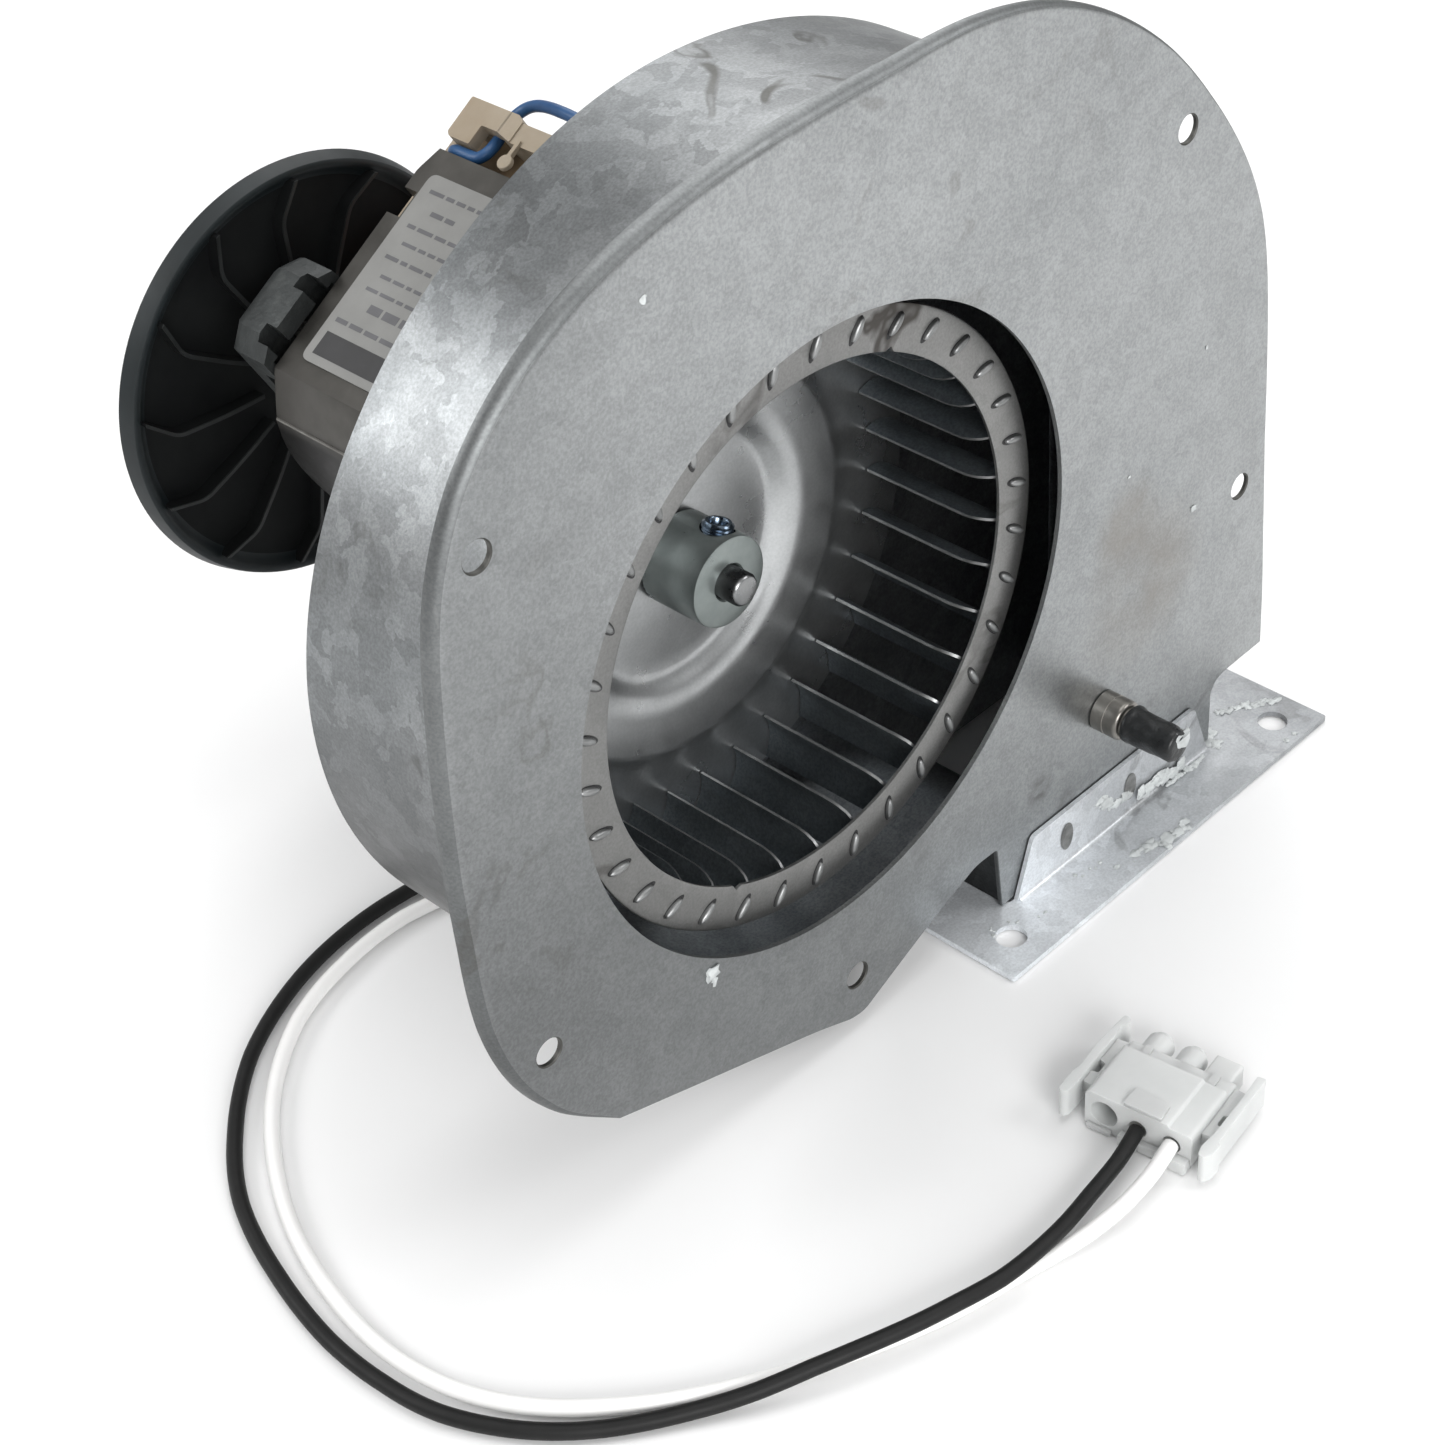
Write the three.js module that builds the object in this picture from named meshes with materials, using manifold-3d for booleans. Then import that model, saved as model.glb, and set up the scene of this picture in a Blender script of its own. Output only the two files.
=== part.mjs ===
// Combustion fan (draft inducer): sheet-steel scroll housing, bladed wheel, C-frame motor and cooling fan.
// Units are millimetres. The wheel shaft lies along Y, the inlet faces -Y and the outlet flange faces -Z.
// Shapes are drawn in the frame of the shaft: x and z from the shaft, y from the front plate's face.
// The whole group is then moved so that the origin is the centre of the outlet flange on its mounting face.
import * as THREE from "three";
import Module from "manifold-3d";

const wasm = await Module();
wasm.setup();

const GAP = 0.3;               // clearance kept between neighbouring solids
const SHEET = 1.2;             // steel sheet thickness of the housing
const SHAFT_X = -102.25;       // shaft position from the flange centre
const PLATE_Y = -27.0;         // front plate face from the flange centre
const SHAFT_Z = 116.4;         // shaft height above the flange's mounting face
const FLOOR = -SHAFT_Z;        // surface under the flange, in the shaft's frame

const INLET_R = 75.6;          // round inlet opening
const PLATE_HOLE_R = 3.4;      // five mounting holes in the front plate
const BOX_DEPTH = 55.2;        // rear edge of the scroll wrapper and rear face of the back plate
const LIP = 3.5;               // how far the front plate's rim is turned back
const BACK_INSIDE = BOX_DEPTH - SHEET;
const DUCT_LEFT = 56.0;        // inside faces of the outlet duct
const DUCT_RIGHT = 139.0;
const FLANGE_X0 = 36.0;
const FLANGE_X1 = 168.5;
const FLANGE_Y0 = -18.4;
const FLANGE_Y1 = 72.4;
const FLANGE_SHEET = 1.5;
const FLANGE_HOLE_R = 4.0;

const WHEEL_R = 72.6;          // forward-curved wheel, 34 blades
const RING_INNER_R = 61.8;
const RING_Y = 7.0;
const BLADES = 34;
const BACK_Y = 46.6;           // front face of the wheel's back plate
const HUB_R = 11.1;
const HUB_Y0 = 32.9;
const HUB_Y1 = 49.0;
const SHAFT_R = 3.97;          // 5/16 inch shaft
const SHAFT_Y0 = 27.6;
const SHAFT_Y1 = 186.0;

const MOTOR_TURN = 32;         // degrees the motor frame is turned about the shaft
const STACK_Y0 = 101.0;
const STACK_Y1 = 145.0;
const STACK_V = 40.6;          // half height of the C-shaped stack
const BOLT_V = 34.0;           // through bolts, on both sides of the shaft
const BOLT_HOLE_R = 2.4;
const BACK_OPENING_R = 16.0;   // clearance round the shaft in the housing's back plate
const FAN_R = 55.0;            // black plastic cooling fan
const FAN_Y0 = 175.6;
const FAN_Y1 = 180.4;

const LEAD_R = 1.9;            // motor leads, outside radius
const JUMPER_R = 1.45;         // jumper wire on the terminal block

// Each finish is a colour, a roughness and a metalness.
const FINISHES = {
  galvanised: [0xa9adb0, 0.38, 0.9],
  wheelSteel: [0x8b8b88, 0.42, 0.95],
  plainSteel: [0x9a9a98, 0.3, 1.0],
  zincPlate: [0xa6b0ad, 0.3, 0.95],
  laminations: [0x5e5a52, 0.42, 0.7],
  castMetal: [0x4a4e50, 0.5, 0.75],
  bronze: [0xb08d57, 0.42, 0.9],
  copperWire: [0xb8652f, 0.32, 0.9],
  creamNylon: [0xa69c8a, 0.48, 0.0],
  naturalNylon: [0xd9dddc, 0.38, 0.0],
  blackPlastic: [0x141617, 0.42, 0.0],
  rubber: [0x101112, 0.5, 0.0],
  brass: [0xc9a35a, 0.34, 1.0],
  paper: [0x96958f, 0.4, 0.0],
  blueWire: [0x1f5a8c, 0.42, 0.0],
  blackWire: [0x1a1a1a, 0.5, 0.0],
  whiteWire: [0xf0efec, 0.48, 0.0],
};

const rad = (deg) => (deg * Math.PI) / 180;
const polar = (r, deg) => [r * Math.cos(rad(deg)), r * Math.sin(rad(deg))];

// ---------- helpers ----------
const root = new THREE.Group();
const frame = new THREE.Group();
frame.position.set(SHAFT_X, PLATE_Y, SHAFT_Z);
root.add(frame);
const motor = new THREE.Group();
motor.rotation.y = -rad(MOTOR_TURN);
frame.add(motor);

function add(name, geometry, finish, parent = frame) {
  const [color, roughness, metalness] = FINISHES[finish];
  const material = new THREE.MeshStandardMaterial({ color, roughness, metalness });
  const mesh = new THREE.Mesh(geometry, material);
  mesh.name = name;
  parent.add(mesh);
}

function weld(geometry) {
  const source = geometry.index ? geometry.toNonIndexed() : geometry;
  const position = source.getAttribute("position");
  const seen = new Map();
  const points = [];
  const faces = [];
  for (let i = 0; i < position.count; i += 3) {
    const face = [];
    for (let k = 0; k < 3; k += 1) {
      const p = [position.getX(i + k), position.getY(i + k), position.getZ(i + k)];
      const key = p.map((value) => Math.round(value * 5000)).join(" ");
      if (!seen.has(key)) {
        seen.set(key, points.length / 3);
        points.push(...p);
      }
      face.push(seen.get(key));
    }
    const [a, b, c] = face;
    if (a !== b && b !== c && a !== c) faces.push(a, b, c);
  }
  return { points: new Float32Array(points), faces: new Uint32Array(faces) };
}

function solid(geometry) {
  const { points, faces } = weld(geometry);
  const made = new wasm.Manifold(
    new wasm.Mesh({ numProp: 3, vertProperties: points, triVerts: faces }),
  );
  if (made.volume() > 0) return made;
  for (let i = 0; i < faces.length; i += 3) [faces[i], faces[i + 1]] = [faces[i + 1], faces[i]];
  return new wasm.Manifold(
    new wasm.Mesh({ numProp: 3, vertProperties: points, triVerts: faces }),
  );
}

function geometryOf(manifold) {
  const mesh = manifold.getMesh();
  const geometry = new THREE.BufferGeometry();
  const step = mesh.numProp;
  const points = new Float32Array((mesh.vertProperties.length / step) * 3);
  for (let i = 0; i < points.length / 3; i += 1) {
    for (let k = 0; k < 3; k += 1) points[i * 3 + k] = mesh.vertProperties[i * step + k];
  }
  geometry.setAttribute("position", new THREE.BufferAttribute(points, 3));
  geometry.setIndex(new THREE.BufferAttribute(new Uint32Array(mesh.triVerts), 1));
  return geometry;
}

const join = (...parts) => geometryOf(parts.map(solid).reduce((a, b) => a.add(b)));
const cut = (body, ...tools) => {
  return geometryOf(tools.map(solid).reduce((a, b) => a.subtract(b), solid(body)));
};

// A flat shape in x and z, as thick as y0 to y1. Holes are lists of points too.
function slab(outline, y0, y1, holes = []) {
  const shape = new THREE.Shape(outline.map(([x, z]) => new THREE.Vector2(x, z)));
  for (const hole of holes) {
    shape.holes.push(new THREE.Path(hole.map(([x, z]) => new THREE.Vector2(x, z))));
  }
  const geometry = new THREE.ExtrudeGeometry(shape, { depth: y1 - y0, bevelEnabled: false });
  geometry.rotateX(Math.PI / 2);
  geometry.translate(0, y1, 0);
  return geometry;
}

function ringPoints(r, x, z, count) {
  const points = [];
  for (let i = 0; i < count; i += 1) {
    const [dx, dz] = polar(r, (360 * i) / count);
    points.push([x + dx, z + dz]);
  }
  return points;
}

function box(x0, x1, y0, y1, z0, z1) {
  const geometry = new THREE.BoxGeometry(x1 - x0, y1 - y0, z1 - z0);
  geometry.translate((x0 + x1) / 2, (y0 + y1) / 2, (z0 + z1) / 2);
  return geometry;
}

// A turned piece about the Y direction through x, z. The profile is a closed list of [radius, y].
function turned(profile, x = 0, z = 0, count = 24) {
  const points = [...profile, profile[0]].map(([r, y]) => new THREE.Vector2(r, y));
  const geometry = new THREE.LatheGeometry(points, count);
  const whole = geometryOf(solid(geometry));
  whole.translate(x, 0, z);
  return whole;
}

function rod(r, y0, y1, x, z, count = 16) {
  return turned([[0, y0], [r, y0], [r, y1], [0, y1]], x, z, count);
}

// A round wire through points, with the given radius and number of sides.
function wire(points, r, steps, sides = 8) {
  const curve = new THREE.CatmullRomCurve3(
    points.map((p) => new THREE.Vector3(...p)), false, "centripetal");
  const section = new THREE.Shape(
    Array.from({ length: sides }, (_, i) => {
      const [x, y] = polar(r, (360 * (i + 0.5)) / sides);
      return new THREE.Vector2(x, y);
    }));
  return new THREE.ExtrudeGeometry(section, { steps, extrudePath: curve, bevelEnabled: false });
}

// Points of a smooth closed or open curve through knots, in x and z.
function smooth(knots, perSpan, closed = false) {
  const curve = new THREE.CatmullRomCurve3(
    knots.map(([x, z]) => new THREE.Vector3(x, z, 0)), closed, "centripetal");
  const spans = closed ? knots.length : knots.length - 1;
  const out = curve.getPoints(spans * perSpan).map((p) => [p.x, p.y]);
  if (closed) out.pop();
  return out;
}

// The same open path moved sideways by a distance, to its left as it runs.
function offset(path, distance) {
  return path.map((p, i) => {
    const a = path[Math.max(i - 1, 0)];
    const b = path[Math.min(i + 1, path.length - 1)];
    const length = Math.hypot(b[0] - a[0], b[1] - a[1]);
    return [p[0] - ((b[1] - a[1]) / length) * distance, p[1] + ((b[0] - a[0]) / length) * distance];
  });
}

// ---------- front plate ----------
const plateRim = smooth([
  [-76.0, -86.0], [-90.4, -74.0], [-101.0, -57.6], [-107.0, -37.1], [-108.4, -14.0], [-108.6, 12.0],
  [-106.6, 46.0], [-103.0, 68.0], [-93.8, 87.4], [-79.4, 101.8], [-60.7, 112.4], [-30.6, 120.2],
  [-3.9, 122.8], [24.2, 123.6], [46.0, 123.8], [68.2, 120.0], [90.0, 110.4], [111.2, 95.0],
  [128.0, 77.0], [142.4, 57.0], [151.2, 38.0], [155.6, 15.0], [158.6, -30.0], [161.6, -78.0],
], 2);
const plateFoot = [
  [162.2, -94.9], [146.0, -95.2], [142.0, -96.2], [140.2, -99.0], [140.2, -114.6],
  [53.6, -114.6], [51.8, -94.8], [44.0, -94.6], [25.5, -101.8], [8.0, -109.6], [2.6, -112.2],
  [-2.0, -111.8], [-13.2, -107.2], [-52.5, -94.0], [-66.0, -89.4],
];
const plateHoles = [[-92.4, 71.9], [-92.4, -53.0], [0.4, -99.2], [119.2, 72.0], [147.8, -37.7]];
const plate = slab([...plateRim, ...plateFoot], 0, SHEET, [
  ringPoints(INLET_R, 0, 0, 56),
  ...plateHoles.map(([x, z]) => ringPoints(PLATE_HOLE_R, x, z, 12)),
]);
const lip = slab([...plateRim, ...offset(plateRim, -SHEET).reverse()], SHEET - 0.2, LIP);
add("front_plate", join(plate, lip), "galvanised");

// ---------- scroll wrapper: a strip from the duct's left wall, round the scroll, to its right wall ------
const scrollRadii = [
  [-72, 85.2], [-90, 86.2], [-110, 88.6], [-130, 91.4], [-150, 93.9], [-170, 96.4],
  [-190, 98.8], [-210, 100.8], [-230, 102.8], [-250, 106.2], [-266, 110.6], [-280, 114.6],
  [-294, 119.0], [-308, 124.0], [-322, 129.2], [-336, 134.2], [-348, 137.6],
];
const scroll = [
  [DUCT_LEFT - SHEET, FLOOR + 1.8],
  ...smooth([
    [DUCT_LEFT - SHEET, -94.0], [DUCT_LEFT - SHEET, -86.0], [52.6, -79.4], [46.4, -76.4],
    [38.0, -77.4], ...scrollRadii.map(([deg, r]) => polar(r, deg)), [140.2, -12.0],
  ], 2),
  [DUCT_RIGHT + SHEET, -50.0], [DUCT_RIGHT + SHEET, FLOOR + 1.8],
];
const strip = [...scroll, ...offset(scroll, -SHEET).reverse()];
add("scroll_wrapper", slab(strip, SHEET + GAP, BOX_DEPTH), "galvanised");

// ---------- motor-side plate of the housing, set inside the wrapper's rear edge ----------
const boltHoles = [90, -90].map((deg) => polar(BOLT_V, deg + MOTOR_TURN));
add("back_plate", slab(offset(scroll, -SHEET - GAP), BACK_INSIDE, BOX_DEPTH, [
  ringPoints(BACK_OPENING_R, 0, 0, 32), ...boltHoles.map(([x, z]) => ringPoints(BOLT_HOLE_R, x, z, 10)),
]), "galvanised");

// ---------- outlet flange with its two welding tabs ----------
function flatXY(outline, z0, z1, holes = []) {
  const shape = new THREE.Shape(outline.map(([x, y]) => new THREE.Vector2(x, y)));
  for (const hole of holes) {
    shape.holes.push(new THREE.Path(hole.map(([x, y]) => new THREE.Vector2(x, y))));
  }
  const geometry = new THREE.ExtrudeGeometry(shape, { depth: z1 - z0, bevelEnabled: false });
  geometry.translate(0, 0, z0);
  return geometry;
}
const flangeHoles = [];
for (const x of [46.95, 157.55]) {
  for (const y of [-8.5, 62.5]) flangeHoles.push(ringPoints(FLANGE_HOLE_R, x, y, 16));
}
const flangePlate = flatXY(
  [[FLANGE_X0, FLANGE_Y0], [FLANGE_X1, FLANGE_Y0], [FLANGE_X1, FLANGE_Y1], [FLANGE_X0, FLANGE_Y1]],
  FLOOR, FLOOR + FLANGE_SHEET,
  [[[DUCT_LEFT, -GAP], [DUCT_RIGHT, -GAP], [DUCT_RIGHT, BOX_DEPTH + GAP], [DUCT_LEFT, BOX_DEPTH + GAP]],
    ...flangeHoles],
);
const tabOutline = [[57.6, FLOOR + 0.3], [137.6, FLOOR + 0.3], [131.0, -98.0], [64.2, -98.0]];
const frontTab = slab(tabOutline, -GAP - SHEET, -GAP);
const rearTab = slab(tabOutline, BOX_DEPTH + GAP, BOX_DEPTH + GAP + SHEET);
add("outlet_flange", join(flangePlate, frontTab, rearTab), "galvanised");

// ---------- pressure tap and its rubber cap ----------
const TAP_X = 92.8;
const TAP_Z = -75.6;
add("pressure_tap", turned([
  [2.0, -GAP], [5.3, -GAP], [5.3, -3.6], [4.7, -4.0], [4.7, -4.8], [5.3, -5.2], [5.3, -8.2],
  [3.2, -8.6], [3.2, -19.6], [2.0, -19.6],
], TAP_X, TAP_Z, 20), "plainSteel");
add("tap_cap", turned([
  [3.5, -9.0], [5.1, -9.0], [5.1, -10.6], [4.75, -11.2], [4.5, -22.8], [3.9, -23.8], [0, -23.8],
  [0, -20.4], [3.5, -20.4],
], TAP_X, TAP_Z, 20), "rubber");

// ---------- shaft, hub and set screw ----------
add("shaft", turned([
  [0, SHAFT_Y0], [SHAFT_R - 0.5, SHAFT_Y0], [SHAFT_R, SHAFT_Y0 + 0.7],
  [SHAFT_R, SHAFT_Y1 - 0.7], [SHAFT_R - 0.7, SHAFT_Y1], [0, SHAFT_Y1],
], 0, 0, 24), "plainSteel");
const SCREW_DEG = 74;          // the set screw points up, a little to the right
const SCREW_Y = 38.5;
const SCREW_R = 3.7;
const SCREW_HOLE_R = 4.05;
const SCREW_TOP = 12.6;        // its end stands a little proud of the hub
const BORE_R = SHAFT_R + GAP;
const hubBody = turned([
  [BORE_R, HUB_Y0], [HUB_R - 0.5, HUB_Y0], [HUB_R, HUB_Y0 + 0.5], [HUB_R, HUB_Y1],
  [8.0, HUB_Y1], [8.0, HUB_Y1 + 3.4], [BORE_R, HUB_Y1 + 3.4],
], 0, 0, 32);
function radialRod(r, from, to, deg, y, count) {
  const geometry = new THREE.CylinderGeometry(r, r, to - from, count);
  geometry.translate(0, (from + to) / 2, 0);
  geometry.rotateX(Math.PI / 2);
  geometry.rotateY(-rad(deg) + Math.PI / 2);
  geometry.translate(0, y, 0);
  return geometry;
}
add("hub", cut(hubBody, radialRod(SCREW_HOLE_R, BORE_R - 1, HUB_R + 2, SCREW_DEG, SCREW_Y, 16)), "zincPlate");
add("set_screw", cut(
  radialRod(SCREW_R, BORE_R + 0.1, SCREW_TOP, SCREW_DEG, SCREW_Y, 16),
  radialRod(2.0, SCREW_TOP - 3.4, SCREW_TOP + 1, SCREW_DEG, SCREW_Y, 6)), "zincPlate");

// ---------- wheel ----------
add("wheel_back_plate", turned([
  [8.4, 50.0], [30.0, 50.0], [38.0, 46.2], [48.0, 45.4], [52.0, BACK_Y], [WHEEL_R, BACK_Y],
  [WHEEL_R, BACK_Y + 0.9], [51.6, BACK_Y + 0.9], [47.8, 46.3], [38.4, 47.1], [30.4, 50.9], [8.4, 50.9],
], 0, 0, 40), "wheelSteel");

// One blade section in x and z: a thin arc, hollow towards the turning side.
function bladeSection(inner, outer, lean, bow, thickness) {
  const front = [];
  const back = [];
  const steps = 4;
  for (let i = 0; i <= steps; i += 1) {
    const t = i / steps;
    const r = inner + (outer - inner) * t;
    const side = lean * t + bow * 4 * t * (1 - t);
    front.push([r, side]);
    back.push([r, side + thickness]);
  }
  return [...front, ...back.reverse()];
}
const bladeShape = bladeSection(60.4, 71.6, -4.2, 1.9, 0.7);
const bladeParts = [];
for (let i = 0; i < BLADES; i += 1) {
  const turn = (360 * (i + 0.36)) / BLADES;
  const [c, s] = polar(1, turn);
  const section = bladeShape.map(([r, side]) => [r * c - side * s, r * s + side * c]);
  bladeParts.push(slab(section, RING_Y + 0.5, BACK_Y - GAP));
  const [tc, ts] = polar(1, turn - 1.9);
  const tab = [[65.0, 0.0], [69.6, -1.7], [70.4, 0.1], [65.8, 1.8]]
    .map(([r, side]) => [r * tc - side * ts, r * ts + side * tc]);
  bladeParts.push(slab(tab, RING_Y - 0.8, RING_Y + 0.3));
}
const ring = turned([
  [RING_INNER_R, RING_Y], [WHEEL_R, RING_Y], [WHEEL_R, RING_Y + 0.9], [RING_INNER_R, RING_Y + 0.9],
], 0, 0, 56);
add("wheel_ring_blades", join(ring, ...bladeParts), "wheelSteel");

// ---------- motor: laminated C stack, coil, bobbin ----------
const STACK_TOP = 51.8;        // the straight side that carries the coil
const stackHalf = [
  [-26.2, 8.0], [-25.6, 16.0], [-24.0, 24.0], [-20.7, 31.2], [-12.4, STACK_V], [STACK_TOP, STACK_V],
];
const mirror = (points) => points.map(([u, v]) => [u, -v]).reverse();
const stackOutline = [...stackHalf, ...mirror(stackHalf)];
const COIL_WINDOW = [[23.0, -25.6], [39.8, -25.6], [39.8, 25.6], [23.0, 25.6]];
const ROTOR_R = 18.6;
const boltSpots = [[0.0, BOLT_V], [0.0, -BOLT_V]];
const stack = slab(stackOutline, STACK_Y0, STACK_Y1, [
  ringPoints(ROTOR_R + 0.5, 0, 0, 36), COIL_WINDOW,
  ...boltSpots.map(([u, v]) => ringPoints(BOLT_HOLE_R, u, v, 10)),
]);
const rearNotches = [-1, 1].map((side) => {
  const edges = [33.6 * side, 42.0 * side].sort((a, b) => a - b);
  return box(32.6, 39.8, STACK_Y1 - 4.6, STACK_Y1 + 1, ...edges);
});
const wedge = [[44.0, STACK_Y1 + 1], [44.0, STACK_Y1], [52.8, STACK_Y1 - 2.6], [54.0, STACK_Y1 + 1]];
const chamfers = [[26.0, 42.0], [-42.0, -26.0]].map(([v0, v1]) => flatXY(wedge, v0, v1));
add("stator_stack", cut(stack, ...rearNotches, ...chamfers), "laminations", motor);

function hoop(u0, u1, y0, y1, wall, v0, v1) {
  return cut(
    box(u0 - wall, u1 + wall, y0 - wall, y1 + wall, v0, v1),
    box(u0, u1, y0, y1, v0 - 1, v1 + 1),
  );
}
const CORE = [39.8 - GAP, STACK_TOP + GAP, STACK_Y0 - GAP, STACK_Y1 + GAP];
const spool = join(
  hoop(...CORE, 1.4, -25.2, 25.2),
  hoop(...CORE, 12.0, 23.6, 25.2),
  hoop(...CORE, 12.0, -25.2, -23.6),
);
add("bobbin", spool, "creamNylon", motor);
add("coil_winding", hoop(
  CORE[0] - 1.7, CORE[1] + 1.7, CORE[2] - 1.7, CORE[3] + 1.7, 8.6, -23.3, 23.3), "copperWire", motor);
add("rotor_core", turned([
  [BORE_R, STACK_Y0 + 1], [ROTOR_R, STACK_Y0 + 1], [ROTOR_R, STACK_Y1 - 1], [BORE_R, STACK_Y1 - 1],
], 0, 0, 32), "laminations");

// ---------- bearing brackets: cast bridges across both ends of the stack ----------
function bridge(yFoot, yTop, foot, boltEnd) {
  const outline = [
    [-13.5, -43.0], [-8.0, -46.4], [8.0, -46.4], [13.5, -43.0], [15.5, -14.0], [15.5, 14.0],
    [13.5, 43.0], [8.0, 46.4], [-8.0, 46.4], [-13.5, 43.0], [-15.5, 14.0], [-15.5, -14.0],
  ];
  const thick = yTop > yFoot ? 3.6 : -3.6;
  const low = Math.min(yTop, yTop - thick);
  const high = Math.max(yTop, yTop - thick);
  const deck = slab(outline, low, high);
  // A wall hangs from the deck's edge, 2.4 thick, and stops short of the stack between the feet.
  const inner = outline.map(([u, v]) => [u * 0.84, v * 0.945]);
  const wallLow = yTop > yFoot ? yFoot + 3.4 : high - 0.5;
  const wallHigh = yTop > yFoot ? low + 0.5 : yFoot - 3.4;
  const wall = slab(outline, wallLow, wallHigh, [inner]);
  const feet = [];
  for (const side of [-1, 1]) {
    const y0 = Math.min(yFoot, yTop - thick / 2);
    const y1 = Math.max(yFoot, yTop - thick / 2);
    const z0 = side > 0 ? foot : -STACK_V + 0.6;
    const z1 = side > 0 ? STACK_V - 0.6 : -foot;
    for (const [u0, u1] of [[-13.4, -11.0], [-4.2, 4.2], [11.0, 13.4]]) {
      feet.push(box(u0, u1, y0, y1, z0, z1));
    }
  }
  const boss = rod(13.0, low - 1.6, high + 1.6, 0, 0, 24);
  const tools = [rod(8.3, low - 4, high + 4, 0, 0, 24)];
  for (const [u, v] of boltSpots) tools.push(rod(BOLT_HOLE_R, Math.min(low, yFoot) - 1, boltEnd, u, v, 10));
  return cut(join(deck, wall, boss, ...feet), ...tools);
}
const REAR_TOP = 160.0;
const FRONT_TOP = 86.0;
const FOOT_V = 26.0;           // inner end of the feet, from the shaft
add("rear_bracket", bridge(STACK_Y1 + GAP, REAR_TOP, FOOT_V, REAR_TOP - 0.9), "castMetal", motor);
add("front_bracket", bridge(STACK_Y0 - GAP, FRONT_TOP, FOOT_V, STACK_Y0), "castMetal", motor);

function bearing(y0, y1) {
  const bore = SHAFT_R + 0.06;
  return turned([[bore, y0], [8.0, y0], [8.0, y1], [bore, y1]], 0, 0, 24);
}
add("rear_bearing", bearing(REAR_TOP - 5.0, REAR_TOP + 2.4), "bronze", motor);
add("front_bearing", bearing(FRONT_TOP - 2.4, FRONT_TOP + 5.0), "bronze", motor);

// ---------- through bolts and spacers that carry the motor ----------
// The heads sit inside the housing, in front of the back plate; the ends stop inside the rear bracket.
boltSpots.forEach(([u, v], i) => {
  const headTop = BACK_INSIDE - GAP;
  add(`through_bolt_${i + 1}`, turned([
    [0, headTop - 1.5], [4.2, headTop - 1.5], [4.2, headTop], [2.0, headTop],
    [2.0, REAR_TOP - 1.2], [0, REAR_TOP - 1.2],
  ], u, v, 12), "plainSteel", motor);
  add(`spacer_${i + 1}`, turned([
    [2.3, BOX_DEPTH + GAP], [5.0, BOX_DEPTH + GAP], [5.0, FRONT_TOP - GAP], [2.3, FRONT_TOP - GAP],
  ], u, v, 16), "plainSteel", motor);
});

// ---------- terminal block, jumper, label, lead bushing ----------
const blockParts = [
  box(54.4, 66.2, 104.0, 142.6, 25.6, 33.0),
  box(59.2, 64.8, 104.0, 125.0, 32.0, 41.6),
  box(59.2, 66.2, 124.4, 129.4, 32.0, 42.0),
  box(60.4, 66.2, 136.0, 142.6, 32.0, 42.0),
  box(60.4, 66.2, 129.0, 136.4, 40.0, 42.0),
  box(54.9, 61.4, 134.6, 142.6, 38.4, 42.0),
  box(54.3, 60.2, 120.9, 122.1, 41.0, 42.4),
  box(66.0, 68.2, 113.0, 126.0, 26.0, 30.5),
];
const keyhole = new THREE.CylinderGeometry(1.95, 1.95, 1.4, 16);
keyhole.rotateX(Math.PI / 2);
keyhole.translate(54.3, 121.5, 41.7);
add("terminal_block", join(...blockParts, keyhole), "creamNylon", motor);
add("blue_jumper", wire([
  [53.4, 142.4, 35.6], [53.4, 141.2, 38.0], [53.35, 138.6, 39.3], [53.35, 134.6, 39.3],
  [53.7, 132.0, 39.3], [55.6, 130.8, 39.1], [58.4, 131.2, 38.2], [62.6, 132.6, 36.9],
  [66.6, 132.4, 37.2], [69.6, 130.4, 37.8], [71.0, 125.8, 39.4], [70.8, 117.0, 41.6],
  [70.2, 108.0, 42.0], [70.0, 100.0, 39.4], [69.6, 96.0, 33.0], [68.4, 96.0, 24.0],
  [67.4, 96.0, 17.6], [64.6, 96.0, 15.8],
], JUMPER_R, 40), "blueWire", motor);
add("rating_label", slab([
  [-7.6, STACK_V + GAP], [45.4, STACK_V + GAP], [45.4, STACK_V + GAP + 0.3], [-7.6, STACK_V + GAP + 0.3],
], 104.0, 139.4), "paper", motor);
add("lead_bushing", box(40.8, 52.2, 81.6, 90.1, -23.0, -16.0), "blackPlastic", motor);

// ---------- cooling fan ----------
const FAN_VANES = 13;
const fanShell = turned([
  [BORE_R, 164.0], [10.0, 164.0], [11.0, FAN_Y1 - 4.4], [18.0, FAN_Y1 - 2.0], [FAN_R - 5.0, FAN_Y1 - 2.0],
  [FAN_R - 3.4, FAN_Y0], [FAN_R - 1.6, FAN_Y0], [FAN_R, FAN_Y1], [BORE_R, FAN_Y1],
], 0, 0, 44);
const vanes = [];
for (let i = 0; i < FAN_VANES; i += 1) {
  const [c, s] = polar(1, (360 * i) / FAN_VANES + 8);
  const line = [[17.0, 0.0], [30.0, 1.4], [41.0, 1.0], [50.6, -4.0]];
  const section = [...line, ...line.map(([r, side]) => [r, side + 1.2]).reverse()]
    .map(([r, side]) => [r * c - side * s, r * s + side * c]);
  vanes.push(slab(section, FAN_Y1 - 6.8, FAN_Y1 - 1.8));
}
add("cooling_fan", join(fanShell, ...vanes), "blackPlastic");

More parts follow.
